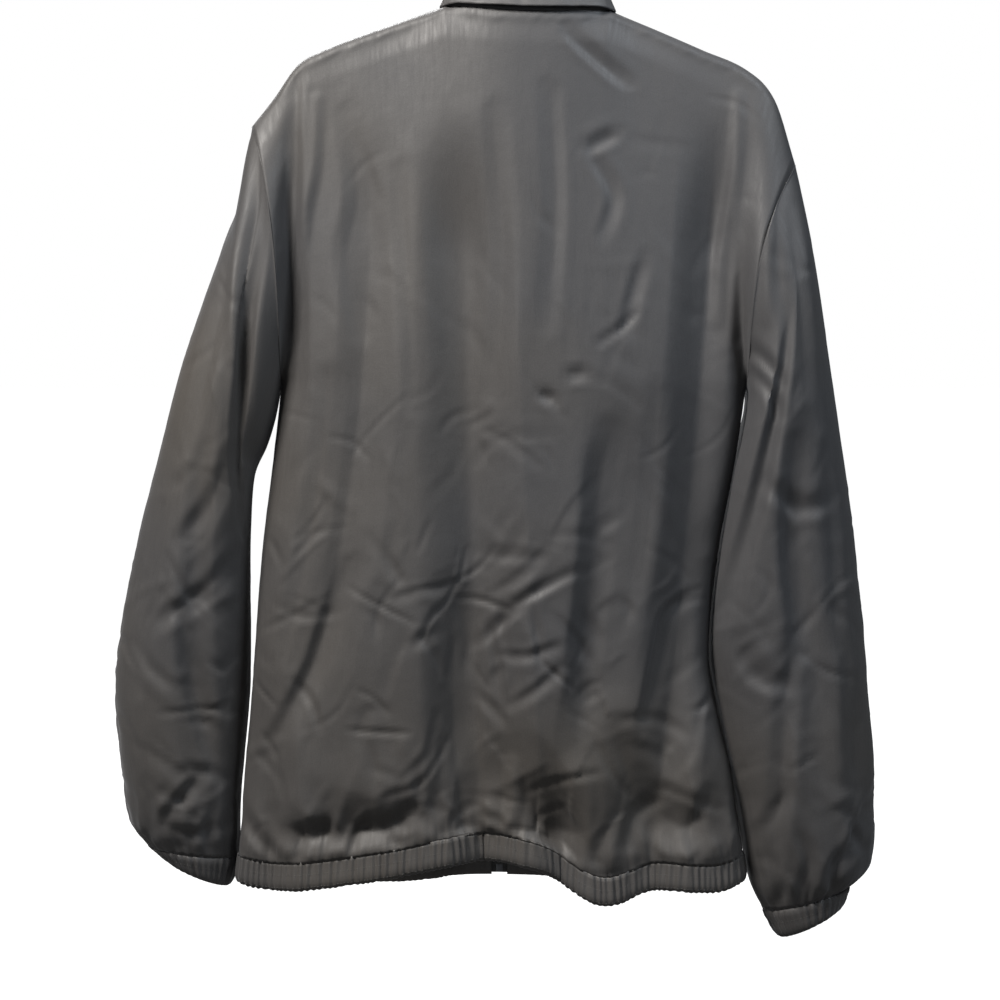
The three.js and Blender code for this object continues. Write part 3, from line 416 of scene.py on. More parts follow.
@dataclass(frozen=True)
class Torso:
    """The surface of the body of the jacket.

    Across runs from -1, the right side seam, to 1, the left one. Rise is -1 at the hem's seam, 0 at the
    armpits and 1 at the shoulder line and the neck.
    """

    squareness: float = 2.7
    shoulder_round: float = 8.0
    neck_share: float = 0.34
    neck_half_width: float = 72.0
    neck_back: float = 26.0
    neck_front: float = 44.0
    neck_z: float = -86.0
    back_drop: float = 5.0
    front_drop: float = 78.0
    tilt: float = 0.028

    def section(self, across: np.ndarray) -> tuple[np.ndarray, np.ndarray]:
        """Finds places of the rounded half section.

        Args:
            across: Places across, evenly along the section.

        Returns:
            Their x from -1 to 1, and their y from 0 over 1 to 0.
        """
        angle = np.linspace(-0.5, 0.5, 481) * math.pi
        power = 2 / self.squareness
        x = np.sign(np.sin(angle)) * np.abs(np.sin(angle)) ** power
        y = np.abs(np.cos(angle)) ** power
        length = np.concatenate([[0], np.cumsum(np.hypot(np.diff(x) * 200, np.diff(y) * 56))])
        at = (np.asarray(across) + 1) / 2 * length[-1]
        return np.interp(at, length, x), np.interp(at, length, y)

    def neck(self, angle: np.ndarray) -> np.ndarray:
        """Finds places of the neck seam.

        Args:
            angle: Angles round the neck: 0 at the middle of the back, half a turn at the front.

        Returns:
            The points.
        """
        forward = np.cos(angle) < 0
        depth = np.where(forward, self.neck_front, self.neck_back)
        drop = np.where(forward, self.front_drop, self.back_drop)
        x = self.neck_half_width * np.sin(angle)
        return join(x, depth * np.cos(angle), self.neck_z + x * self.tilt - drop * np.cos(angle) ** 2)

    def shoulder_z(self, x: np.ndarray) -> np.ndarray:
        """Returns the height of the shoulder line."""
        left, right = (SHOULDER[side].read(np.abs(x))["z"] for side in (Side.LEFT, Side.RIGHT))
        return np.where(np.asarray(x) > 0, left, right)

    def top_edge(self, face: Face, across: np.ndarray) -> np.ndarray:
        """Finds places of the top edge: one shoulder line, the neck and the other shoulder line.

        Args:
            face: The back or the front.
            across: Places across.

        Returns:
            The points.
        """
        angle = np.arcsin(np.clip(across / self.neck_share, -1, 1))
        neck = self.neck(angle if face is Face.BACK else math.pi - angle)
        tip = np.where(across > 0, HOLES[Side.LEFT].tip_x, HOLES[Side.RIGHT].tip_x)
        share = (np.abs(across) - self.neck_share) / (1 - self.neck_share)
        x = np.sign(across) * mix(self.neck_half_width, tip, np.clip(share, 0, 1))
        corner = np.sign(x) * self.neck_half_width
        step = self.neck_z + corner * self.tilt - self.shoulder_z(corner)
        shoulder = join(x, 0.0, self.shoulder_z(x) + step * np.exp(-(np.abs(x - corner) / 18)))
        return np.where((np.abs(across) <= self.neck_share)[..., None], neck, shoulder)

    def armhole(self, side: Side, angle: np.ndarray) -> np.ndarray:
        """Finds places of an armhole seam.

        Args:
            side: The wearer's side.
            angle: Angles: 0 at the tip, a quarter turn at the back, half a turn at the foot.

        Returns:
            The points.
        """
        hole = HOLES[side]
        height = (1 + np.cos(angle)) / 2
        x = side.value * mix(hole.foot_x, hole.tip_x, height**3)
        return join(x, hole.half_depth * np.sin(angle), mix(hole.foot_z, hole.tip_z, height))

    def base(self, face: Face, across: np.ndarray, rise: np.ndarray) -> np.ndarray:
        """Finds places of the torso without its folds.

        Args:
            face: The back or the front.
            across: Places across.
            rise: Places up.

        Returns:
            The points.
        """
        across, rise = np.broadcast_arrays(np.asarray(across, float), np.asarray(rise, float))
        profile_x, profile_y = self.section(across)
        armpit = HOLES[Side.LEFT].foot_z
        down = np.clip(-rise, 0, 1)
        z = mix(armpit, HEM_SEAM[face].read(across)["z"], down)
        size = TORSO.read(z)
        depth = size["back"] if face is Face.BACK else size["front"]
        middle, half = (size["left"] - size["right"]) / 2, (size["left"] + size["right"]) / 2
        lower = join(middle + half * profile_x, face.value * depth * profile_y, z)

        up = np.clip(rise, 0, 1)
        angle = np.arccos(np.clip(2 * up - 1, -1, 1))
        left, right = self.armhole(Side.LEFT, angle), self.armhole(Side.RIGHT, angle)
        top = self.top_edge(face, across)
        left_tip, right_tip = HOLES[Side.LEFT].tip_x, HOLES[Side.RIGHT].tip_x
        top_share = (top[..., 0] - (left_tip - right_tip) / 2) / ((left_tip + right_tip) / 2)
        share = mix(profile_x, top_share, ease(up))
        x = (left[..., 0] + right[..., 0]) / 2 + (left[..., 0] - right[..., 0]) / 2 * share
        z = mix(armpit, top[..., 2], up)
        below = top[..., 2] - z
        over = 1 - np.clip(below / self.shoulder_round, 0, 1)
        arc = self.shoulder_round * np.sqrt(np.maximum(0, 1 - over**2))
        oval = 1 - (top[..., 0] / self.neck_half_width) ** 2
        soft = 0.75 * ease(below / 30)
        oval = (oval + np.sqrt(oval**2 + soft**2)) / 2
        neck_depth = self.neck_back if face is Face.BACK else self.neck_front
        top_depth = np.sqrt(np.maximum(neck_depth**2 * oval + arc**2, 0))
        row = TORSO.read(np.array(-412.0))
        chest = float(row["back"] if face is Face.BACK else row["front"]) * profile_y
        seam = np.abs(left[..., 1])

        def depth_of(section: np.ndarray, edge: np.ndarray) -> np.ndarray:
            """Returns the depth of a place from its section's and the armhole's."""
            return np.cbrt(mix(top_depth, section, 1 - up**1.3) ** 3 + edge**3)

        miss = seam - depth_of(np.zeros(seam.shape), seam)
        y = depth_of(chest, seam * across**4) + miss * across**16
        upper = join(x, face.value * y, z)
        return np.where((rise <= 0)[..., None], lower, upper)

    def folded(self, face: Face, across: np.ndarray, rise: np.ndarray) -> np.ndarray:
        """Finds places of the torso with its large folds.

        Args:
            face: The back or the front.
            across: Places across.
            rise: Places up.

        Returns:
            The points.
        """
        across, rise = np.broadcast_arrays(np.asarray(across, float), np.asarray(rise, float))
        point = self.base(face, across, rise)
        top = self.top_edge(face, across)[..., 2]
        fade = ease((1 - np.abs(across)) / 0.12) * ease((top - point[..., 2] - self.shoulder_round) / 40)
        depth = sum(fold.depth(point[..., 0], point[..., 2]) for fold in FOLDS[face])
        point[..., 1] -= face.value * depth * fade
        return point


@dataclass(frozen=True)
class SleeveFold:
    """A large fold of a sleeve, from head to foot by t and turns."""

    head: tuple[float, float]
    foot: tuple[float, float]
    width: float
    depth: float


SLEEVE_FOLDS = {
    Side.LEFT: (
        SleeveFold((0.02, 0.19), (0.42, 0.42), 0.045, 9),
        SleeveFold((0.3, 0.22), (0.95, 0.33), 0.06, 6),
        SleeveFold((0.08, 0.8), (0.9, 0.7), 0.07, 8),
    ),
    Side.RIGHT: (
        SleeveFold((0.04, 0.2), (0.6, 0.4), 0.05, 8),
        SleeveFold((0.3, 0.2), (0.95, 0.22), 0.06, 7),
        SleeveFold((0.08, 0.8), (0.9, 0.7), 0.07, 8),
    ),
}


@dataclass(frozen=True)
class Arm:
    """The surface of a sleeve: turn runs round from the outer line, t from the armhole to the cuff's seam."""

    side: Side
    torso: Torso
    clearance: float = 2.5
    softness: float = 5.0

    def base(self, turn: np.ndarray, t: np.ndarray) -> np.ndarray:
        """Finds places of the sleeve without its folds.

        Args:
            turn: Turns round the arm.
            t: Places along it.

        Returns:
            The points.
        """
        row = SLEEVE[self.side].read(t)
        angle = turn * 2 * math.pi
        s = self.side.value
        outer = join(s * row["outer_x"], row["mid_y"], row["outer_z"])
        inner = join(s * row["inner_x"], row["mid_y"], row["inner_z"])
        point = (outer + inner) / 2 + (outer - inner) * (np.cos(angle) / 2)[..., None]
        point[..., 1] += row["half_depth"] * np.sin(angle)
        hole = self.torso.armhole(self.side, angle)
        return mix(hole, point, ease(t / 0.12)[..., None])

    def middle(self, t: np.ndarray) -> np.ndarray:
        """Returns the sleeve's middle line."""
        row = SLEEVE[self.side].read(t)
        x = self.side.value * (row["outer_x"] + row["inner_x"]) / 2
        return join(x, row["mid_y"], (row["outer_z"] + row["inner_z"]) / 2)

    def beside_torso(self, point: np.ndarray) -> np.ndarray:
        """Keeps points clear of the torso's side below the armpit.

        Args:
            point: The points.

        Returns:
            The points, moved out where they were too near.
        """
        size = TORSO.read(point[..., 2])
        middle, half = (size["left"] - size["right"]) / 2, (size["left"] + size["right"]) / 2
        depth = np.where(point[..., 1] > 0, size["back"], size["front"]) + self.clearance
        square = self.torso.squareness
        share = np.clip(1 - (np.abs(point[..., 1]) / depth) ** square, 0, 1) ** (1 / square)
        s = self.side.value
        least = s * middle + half * share + self.clearance * share
        miss = least - point[..., 0] * s
        below = ease((-415 - point[..., 2]) / 7)
        soft = (miss + self.softness) ** 2 / (4 * self.softness)
        push = np.where(miss > self.softness, miss, np.where(miss > -self.softness, soft, 0))
        moved = point.copy()
        moved[..., 0] += s * below * push
        return moved

    def folded(self, turn: np.ndarray, t: np.ndarray) -> np.ndarray:
        """Finds places of the sleeve with its large folds.

        Args:
            turn: Turns round the arm.
            t: Places along it.

        Returns:
            The points.
        """
        turn, t = np.broadcast_arrays(np.asarray(turn, float), np.asarray(t, float))
        point = self.base(turn, t)
        depth = np.zeros(t.shape)
        for fold in SLEEVE_FOLDS[self.side]:
            share = np.clip((t - fold.head[0]) / (fold.foot[0] - fold.head[0]), 0, 1)
            off = turn - mix(fold.head[1], fold.foot[1], share)
            near = np.maximum(0, 1 - ((off - np.round(off)) / fold.width) ** 2)
            depth = depth + fold.depth * near * near * np.sin(math.pi * share) ** 0.7
        fade = ease(t / 0.06) * ease((1 - t) / 0.06)
        inward = unit(self.middle(t) - point)
        return self.beside_torso(point + inward * (depth * fade)[..., None])


def normals(grid: np.ndarray, closed: bool, away_from: np.ndarray) -> np.ndarray:
    """Finds the way out of a grid of points.

    Args:
        grid: Points in rows and columns.
        closed: Whether the last column joins the first.
        away_from: A point, or one for each row and column, on the inner side.

    Returns:
        The unit normals.
    """
    if closed:
        wide = np.concatenate([grid[:, -1:], grid, grid[:, :1]], axis=1)
        across = (wide[:, 2:] - wide[:, :-2]) / 2
    else:
        across = np.gradient(grid, axis=1)
    along = np.gradient(grid, axis=0)
    normal = unit(np.cross(across, along))
    turned = (normal * (grid - away_from)).sum(axis=-1).mean() < 0
    return -normal if turned else normal


def shell(
    name: str,
    outer: np.ndarray,
    normal: np.ndarray,
    closed: bool = False,
    thickness: float = CLOTH,
) -> bpy.types.Object:
    """Makes a thin closed shell of cloth from a grid.

    Args:
        name: The piece's name.
        outer: The outer side's points, in millimetres.
        normal: The way out at each point.
        closed: Whether the last column joins the first.
        thickness: The cloth's thickness in millimetres.

    Returns:
        The object, with a UV map in decimetres along the cloth.
    """
    rows, columns = outer.shape[:2]
    inner = outer - normal * thickness
    points = np.concatenate([outer.reshape(-1, 3), inner.reshape(-1, 3)]) * MM
    index = np.arange(rows * columns).reshape(rows, columns)
    c_next = np.roll(index, -1, axis=1) if closed else index[:, 1:]
    c_here = index if closed else index[:, :-1]
    a, b, c, d = c_here[:-1], c_next[:-1], c_next[1:], c_here[1:]
    quads = np.stack([a, b, c, d], axis=-1).reshape(-1, 4)
    facing = np.cross(np.gradient(outer, axis=1), np.gradient(outer, axis=0))
    flipped = (facing * normal)[1:-1, 1:-1].sum() < 0
    if flipped:
        quads = quads[:, ::-1]
    half = rows * columns
    faces = [quads, quads[:, ::-1] + half]
    rims = []
    pairs = [(c_here[0], c_next[0]), (c_next[-1], c_here[-1])]
    if not closed:
        pairs += [(index[1:, 0], index[:-1, 0]), (index[:-1, -1], index[1:, -1])]
    for one, two in pairs:
        rim = np.stack([two, one, one + half, two + half], axis=-1)
        rims.append(rim[:, ::-1] if flipped else rim)
    every = np.concatenate([*faces, *rims]).astype(np.int32)
    mesh = bpy.data.meshes.new(name)
    mesh.vertices.add(len(points))
    mesh.vertices.foreach_set("co", points.astype(np.float32).ravel())
    mesh.loops.add(every.size)
    mesh.loops.foreach_set("vertex_index", every.ravel())
    mesh.polygons.add(len(every))
    mesh.polygons.foreach_set("loop_start", np.arange(0, every.size, 4, dtype=np.int32))
    smooth = np.zeros(len(every), dtype=bool)
    smooth[: 2 * len(quads)] = True
    mesh.polygons.foreach_set("use_smooth", smooth)
    step_c = np.linalg.norm(np.diff(outer, axis=1, append=outer[:, :1]), axis=2).mean(axis=0)
    step_r = np.linalg.norm(np.diff(outer, axis=0), axis=2).mean(axis=1)
    u = np.concatenate([[0], np.cumsum(step_c)])
    v = np.concatenate([[0], np.cumsum(step_r)])
    column, row = every % half % columns, every % half // columns
    wraps = closed & (column.max(axis=1) - column.min(axis=1) > columns // 2)
    column = np.where(wraps[:, None] & (column == 0), columns, column)
    layer = mesh.uv_layers.new(name="cloth")
    layer.data.foreach_set("uv", np.stack([u[column], v[row]], axis=-1).astype(np.float32).ravel() / 100)
    mesh.update(calc_edges=True)
    mesh.validate()
    piece = bpy.data.objects.new(name, mesh)
    bpy.context.scene.collection.objects.link(piece)
    return piece


BACK_CREASES = (
    *creases(9, 3.0, 0.4, ((-33, -110), (-64, -137), (-86, -154)), ((-51, -211), (-77, -198))),
    *creases(9, 2.6, 0.3, ((-55, -216), (-73, -251), (-64, -286)), ((-99, -304), (-82, -365))),
    *creases(5, 2.6, 0.6, ((-60, -379), (-78, -367), (-95, -352))),
    *creases(8, 2.6, 0.0, ((-34, -405), (-50, -403)), ((-10, -420), (-22, -427))),
    *creases(7, 2.4, 0.3, ((24, -607), (-10, -590), (-42, -572)), ((41, -638), (22, -618), (6, -603))),
    *creases(7, 2.2, -0.3, ((26, -647), (0, -646), (-29, -636)), ((16, -691), (-6, -676), (-29, -656))),
    *creases(6, 2.0, 0.2, ((34, -621), (27, -655), (24, -691)), ((-3, -603), (-8, -630), (-11, -656))),
    *creases(7, 2.2, 0.0, ((41, -682), (30, -694), (19, -709)), ((60, -598), (50, -630), (52, -664))),
    *creases(16, 3.0, 0.2, ((156, -181), (147, -251), (156, -304), (147, -365))),
    *creases(16, 4.0, 0.2, ((173, -409), (178, -471), (187, -533), (200, -603), (209, -647))),
    *creases(12, 4.0, 0.5, ((156, -568), (178, -630), (191, -665), (231, -739))),
    *creases(8, 4.2, 0.5, ((136, -786), (150, -806), (157, -838)), ((199, -800), (200, -820), (203, -840))),
    *creases(13, 4.2, 0.0, ((152, -804), (125, -798), (98, -784)), ((202, -806), (180, -801), (160, -812))),
    *creases(10, 4.4, 0.3, ((252, -790), (234, -814), (218, -828))),
    *creases(26, 10.0, -0.4, ((62, -600), (60, -690), (56, -770), (50, -842))),
    *creases(40, 16.0, 0.3, ((12, -756), (-10, -792), (-32, -806), (-52, -800))),
    *creases(
        28, 10.0, 0.2, ((164, -792), (128, -800), (92, -780)), ((-112, -786), (-134, -800), (-160, -790))
    ),
    *creases(20, 6.5, 0.3, ((216, -798), (190, -808), (164, -800))),
    *creases(
        32, 10.0, -0.5, ((-76, -716), (-94, -770), (-92, -822)), ((-176, -560), (-186, -630), (-180, -700))
    ),
    *creases(9, -4.0, 0.0, ((15, -742), (14, -775), (17, -810))),
    *creases(9, 4.0, 0.4, ((-143, -594), (-121, -612), (-113, -647), (-99, -709))),
    *creases(18, 5.0, 0.0, ((-71, -455), (-62, -500), (-58, -560), (-48, -640), (-47, -690))),
    *creases(9, 4.0, -0.3, ((200, -141), (202, -181), (203, -233), (214, -290))),
    *creases(8, -3.0, 0.0, ((183, -167), (186, -224), (194, -269), (202, -339), (210, -400))),
    *creases(8, -3.0, 0.0, ((-183, -163), (-179, -233), (-168, -304), (-165, -357))),
    *creases(14, 3.0, 0.3, ((110, -230), (104, -330), (98, -430)), ((30, -180), (22, -300), (30, -420))),
    *creases(
        12, 2.6, -0.3, ((-20, -160), (-24, -260), (-18, -360)), ((-112, -420), (-108, -500), (-98, -590))
    ),
    *creases(
        10, 3.4, 0.2, ((-88, -820), (-100, -790), (-120, -770)), ((-150, -836), (-146, -800), (-158, -770))
    ),
    *creases(9, 3.0, 0.0, ((-60, -846), (-62, -818), (-76, -790)), ((110, -836), (112, -818), (122, -806))),
)
FRONT_CREASES = (
    *creases(14, 3.4, 0.3, ((60, -200), (52, -320), (60, -440)), ((-50, -220), (-44, -340), (-52, -470))),
    *creases(
        12, 3.4, -0.3, ((160, -420), (172, -520), (168, -620)), ((-140, -430), (-146, -530), (-132, -640))
    ),
    *creases(10, 4.0, 0.4, ((96, -740), (84, -780), (88, -830)), ((-60, -730), (-72, -780), (-66, -830))),
    *creases(9, 3.6, 0.2, ((40, -790), (48, -812), (44, -832)), ((-130, -800), (-122, -818), (-128, -834))),
    *creases(12, 4.2, 0.3, ((190, -790), (176, -806), (150, -800)), ((-30, -800), (-40, -816), (-56, -812))),
    *creases(
        9, 3.0, 0.4, ((176, -180), (160, -240), (132, -290)), ((-170, -190), (-156, -250), (-128, -300))
    ),
    *creases(7, 2.4, 0.2, ((30, -540), (52, -560), (74, -548)), ((-36, -600), (-60, -618), (-84, -602))),
)
SLEEVE_CREASES = {
    Side.LEFT: (
        *creases(9, 5.0, 0.3, ((234, -190), (234, -260), (239, -295), (243, -340), (245, -427), (246, -475))),
        *creases(13, 5.0, 0.3, ((298, -632), (285, -696), (270, -750), (261, -778))),
        *creases(9, 4.2, 0.3, ((284, -752), (306, -778), (326, -804))),
        *creases(8, -3.0, 0.0, ((243, -205), (247, -260), (252, -320), (254, -390))),
        *creases(
            12, 3.4, 0.3, ((256, -470), (272, -512), (300, -548)), ((252, -560), (282, -594), (322, -618))
        ),
        *creases(
            11, 3.0, -0.3, ((262, -330), (276, -400), (296, -470)), ((318, -520), (332, -600), (340, -680))
        ),
        *creases(
            8, 3.4, 0.2, ((262, -796), (288, -806), (316, -800)), ((336, -762), (330, -790), (334, -816))
        ),
        *creases(
            7, 3.0, 0.0, ((276, -786), (282, -806), (280, -826)), ((306, -790), (308, -806), (304, -822))
        ),
    ),
    Side.RIGHT: (
        *creases(14, 6.0, 0.2, ((-229, -464), (-226, -552), (-238, -641))),
        *creases(12, 5.0, -0.2, ((-229, -632), (-224, -702), (-220, -773), (-215, -838))),
        *creases(18, 5.0, 0.0, ((-292, -680), (-288, -730), (-292, -780))),
        *creases(
            7, 3.2, 0.3,
            ((-194, -382), (-206, -396), (-216, -414)),
            ((-196, -405), (-208, -420), (-214, -440)),
        ),
        *creases(8, -3.0, 0.0, ((-209, -225), (-207, -277), (-206, -357))),
        *creases(
            12, 3.2, 0.3,
            ((-206, -500), (-238, -520), (-264, -514)),
            ((-182, -640), (-200, -668), (-230, -676)),
        ),
        *creases(
            10, 4.0, 0.3,
            ((-302, -780), (-286, -815), (-262, -842)),
            ((-236, -800), (-246, -832), (-240, -860)),
        ),
        *creases(
            11, 3.0, -0.3,
            ((-226, -260), (-236, -340), (-240, -420)),
            ((-258, -470), (-266, -560), (-270, -640)),
        ),
        *creases(
            7, 3.0, 0.0,
            ((-272, -820), (-268, -842), (-272, -862)),
            ((-220, -846), (-224, -862), (-220, -878)),
        ),
    ),
}


@dataclass(frozen=True)
class Crush:
    """The small sharp creases that thin nylon keeps, most of them slanting and in its lower part."""

    seed: int
    across: tuple[float, float]
    up: tuple[float, float]
    count: int = 240
    depth: float = 1.5
    soft: float = 1.2
    hang: float = 1.2

    def made(self) -> list[Crease]:
        """Draws the creases from the seed.

        Returns:
            The creases.
        """
        maker = np.random.default_rng(self.seed)
        found = []
        for _ in range(self.count):
            middle = np.array([mix(*self.across, maker.random()), mix(*self.up, maker.beta(1.1, 1.9))])
            lean = maker.normal(0, 0.4) + maker.choice((-0.75, 0.75))
            length = maker.uniform(18, 72)
            way = np.array([math.sin(lean), math.cos(lean)]) * length / 2
            bend = np.array([way[1], -way[0]]) * maker.uniform(-0.3, 0.3)
            path = tuple(map(tuple, (middle - way, middle + bend, middle + way)))
            depth = self.depth * maker.uniform(0.35, 1.0) * maker.choice((1, 1, 1, -0.7))
            found.append(Crease(path, maker.uniform(3.5, 9), depth, maker.uniform(-0.8, 0.8)))
        return found

    def at(self, x: np.ndarray, z: np.ndarray) -> np.ndarray:
        """Finds how far the cloth stands out.

        Args:
            x: Places across.
            z: Their heights.

        Returns:
            The height in millimetres, about 0 on the whole.
        """
        noise = Noise(self.seed + 1)
        drift = 12 * noise.at(x / 70, z / 70 + 31)
        wide = 0.36 - np.abs(noise.at((x + drift) / 36, (z - drift) / 54 + 11))
        zone = np.clip(0.55 + 1.1 * noise.at(x / 90 + 3, z / 120), 0.1, 1.3)
        hanging = noise.at((x + drift) / 44 + 60, z / 230)
        sunk = sum(crease.sink(x, z) for crease in self.made())
        return self.soft * zone * wide + self.hang * hanging - sunk


@dataclass(frozen=True)
class Gathers:
    """The small folds that an elastic seam pulls into the cloth beside it."""

    noise: Noise
    wave: float = 7.5
    height: float = 1.1
    reach: float = 17.0
    swell: float = 1.2

    def at_seam(self, s: np.ndarray) -> np.ndarray:
        """Returns how far the cloth stands out at the seam, by the place along it."""
        warp = 7 * self.noise.at(s / 34, np.zeros_like(s)) + 2 * self.noise.at(s / 9, np.full_like(s, 9.5))
        uneven = 0.75 + 0.5 * self.noise.at(s / 20, np.full_like(s, 5.5))
        return self.swell + self.height * uneven * np.cos(2 * math.pi * (s + warp) / self.wave)

    def above(self, s: np.ndarray, d: np.ndarray) -> np.ndarray:
        """Finds how far the cloth stands out beside the seam.

        Args:
            s: Places along the seam.
            d: Distances from it.

        Returns:
            The height in millimetres.
        """
        fine = self.at_seam(s) * np.exp(-((d / self.reach) ** 2))
        slant = s + 0.25 * d * self.noise.at(s / 60, d * 0 + 3.5)
        middle = 1 - 2.2 * np.abs(self.noise.at(slant / 17, d / 120))
        wide = 1 - 2.2 * np.abs(self.noise.at(slant / 36 + 40, d / 180))
        puff = (d / 18) ** 2 * np.exp(2 - d / 9)
        far = (d / 36) ** 2 * np.exp(2 - d / 18)
        return fine + 1.5 * middle * puff + 2.2 * wide * far


PANEL_CRUSH = {
    Face.BACK: Crush(13, (-250, 260), (-850, -120)),
    Face.FRONT: Crush(14, (-250, 260), (-850, -120)),
}
SLEEVE_CRUSH = {
    Side.LEFT: Crush(17, (235, 455), (-830, -220), count=150),
    Side.RIGHT: Crush(19, (-400, -150), (-870, -240), count=150),
}
HEM_GATHERS = Gathers(Noise(23))
CUFF_GATHERS = Gathers(Noise(37), wave=8.0, height=0.9, reach=13.0, swell=1.0)


def hem_out(torso: Torso, face: Face, across: np.ndarray) -> np.ndarray:
    """Finds the level way out at the hem's seam.

    Args:
        torso: The torso.
        face: The back or the front.
        across: Places across.

    Returns:
        The unit ways.
    """
    step = 0.006
    near = torso.folded(face, np.clip(across - step, -1, 1), -1.0)
    far = torso.folded(face, np.clip(across + step, -1, 1), -1.0)
    along = far - near
    level = unit(join(along[..., 1], -along[..., 0], 0.0))
    level *= np.where(level[..., 1:2] * face.value < 0, -1, 1)
    side = np.abs(across) > 0.985
    return np.where(side[..., None], join(np.sign(across), 0.0, 0.0), level)


def hem_lift(across: np.ndarray, face: Face) -> np.ndarray:
    """Returns how far the hem's seam stands out, plain beside the zip."""
    s = across * HALF_GIRTH
    plain = ease((np.abs(s) - 26) / 20) if face is Face.FRONT else 1.0
    return HEM_GATHERS.at_seam(s) * plain


def beside_zip(torso: Torso, offset: float, rise: np.ndarray) -> np.ndarray:
    """Finds the across value at a distance in millimetres to one side of the zip's middle.

    Args:
        torso: The torso.
        offset: The distance, below zero towards the wearer's right.
        rise: Places up.

    Returns:
        The across values.
    """
    middle = ZIP_LINE.read(rise)["across"]
    start = torso.base(Face.FRONT, middle, rise)[..., 0]
    low, high = middle.copy(), middle + math.copysign(0.2, offset)
    for _ in range(26):
        half = (low + high) / 2
        short = np.abs(torso.base(Face.FRONT, half, rise)[..., 0] - start) < abs(offset)
        low, high = np.where(short, half, low), np.where(short, high, half)
    return (low + high) / 2


class Surface:
    """A material under construction, with one main shader."""

    NOISE_LIMITS = (0.3, 0.7)

    def __init__(self, name: str) -> None:
        """Starts the material.

        Args:
            name: The material's name.
        """
        self.material = bpy.data.materials.new(name)
        self.material.use_nodes = True
        self.tree = self.material.node_tree
        self.tree.nodes.clear()
        self.shader = self.node("ShaderNodeBsdfPrincipled")
        out = self.node("ShaderNodeOutputMaterial")
        self.link(self.shader.outputs["BSDF"], out.inputs["Surface"])

    def node(self, kind: str) -> bpy.types.Node:
        """Returns a new node."""
        return self.tree.nodes.new(kind)

    def link(self, source: bpy.types.NodeSocket, target: bpy.types.NodeSocket) -> None:
        """Joins two sockets."""
        self.tree.links.new(source, target)

    def noise(
        self,
        vector: bpy.types.NodeSocket,
        scale: float,
        detail: float = 2.0,
        stretch: tuple[float, float, float] = (1.0, 1.0, 1.0),
    ) -> bpy.types.NodeSocket:
        """Adds noise.

        Args:
            vector: The place.
            scale: Its fineness.
            detail: Its octaves.
            stretch: The scale of each direction.

        Returns:
            The noise's value.
        """
        mapping = self.node("ShaderNodeMapping")
        mapping.inputs["Scale"].default_value = stretch
        self.link(vector, mapping.inputs["Vector"])
        found = self.node("ShaderNodeTexNoise")
        found.inputs["Scale"].default_value = scale
        found.inputs["Detail"].default_value = detail
        self.link(mapping.outputs["Vector"], found.inputs["Vector"])
        return found.outputs["Fac"]

    def wave(self, vector: bpy.types.NodeSocket, scale: float, across: bool) -> bpy.types.NodeSocket:
        """Adds even bands over the cloth's own map.

        Args:
            vector: The place.
            scale: Their fineness.
            across: Whether they follow one another across the cloth.

        Returns:
            The bands' value.
        """
        found = self.node("ShaderNodeTexWave")
        found.bands_direction = "X" if across else "Y"
        found.inputs["Scale"].default_value = scale
        self.link(vector, found.inputs["Vector"])
        return found.outputs["Fac"]

    def maths(self, operation: str, a: bpy.types.NodeSocket, b: bpy.types.NodeSocket) -> bpy.types.NodeSocket:
        """Adds one sum.

        Args:
            operation: Its kind.
            a: The first value.
            b: The second value.

        Returns:
            The sum's value.
        """
        found = self.node("ShaderNodeMath")
        found.operation = operation
        self.link(a, found.inputs[0])
        self.link(b, found.inputs[1])
        return found.outputs["Value"]

    def between(self, value: bpy.types.NodeSocket, low: float, high: float) -> bpy.types.NodeSocket:
        """Brings noise between two limits.

        Args:
            value: The value.
            low: The lower limit.
            high: The upper limit.

        Returns:
            The new value.
        """
        found = self.node("ShaderNodeMapRange")
        limits = zip(("From Min", "From Max", "To Min", "To Max"), (*self.NOISE_LIMITS, low, high))
        for name, limit in limits:
            found.inputs[name].default_value = limit
        self.link(value, found.inputs["Value"])
        return found.outputs["Result"]

    def blend(
        self, share: bpy.types.NodeSocket, a: tuple[float, float, float], b: tuple[float, float, float]
    ) -> bpy.types.NodeSocket:
        """Blends two colours by a value.

        Args:
            share: The value.
            a: The colour at its low end.
            b: The colour at its high end.

        Returns:
            The colour.
        """
        found = self.node("ShaderNodeValToRGB")
        for end, position, colour in zip(found.color_ramp.elements, (0.35, 0.65), (a, b)):
            end.position = position
            end.color = (*colour, 1)
        self.link(share, found.inputs["Fac"])
        return found.outputs["Color"]

    def bump(
        self,
        height: bpy.types.NodeSocket,
        strength: float,
        distance: float,
        under: bpy.types.NodeSocket | None,
    ) -> bpy.types.NodeSocket:
        """Adds a bump over another.

        Args:
            height: The relief.
            strength: Its strength.
            distance: Its depth in metres.
            under: The relief below it, if any.

        Returns:
            The normal.
        """
        found = self.node("ShaderNodeBump")
        found.inputs["Strength"].default_value = strength
        found.inputs["Distance"].default_value = distance
        self.link(height, found.inputs["Height"])
        if under is not None:
            self.link(under, found.inputs["Normal"])
        return found.outputs["Normal"]

    def colour(self, source: bpy.types.NodeSocket) -> None:
        """Joins the base colour."""
        self.link(source, self.shader.inputs["Base Color"])

    def roughness(self, source: bpy.types.NodeSocket) -> None:
        """Joins the roughness."""
        self.link(source, self.shader.inputs["Roughness"])

    def normal(self, source: bpy.types.NodeSocket) -> None:
        """Joins the normal."""
        self.link(source, self.shader.inputs["Normal"])


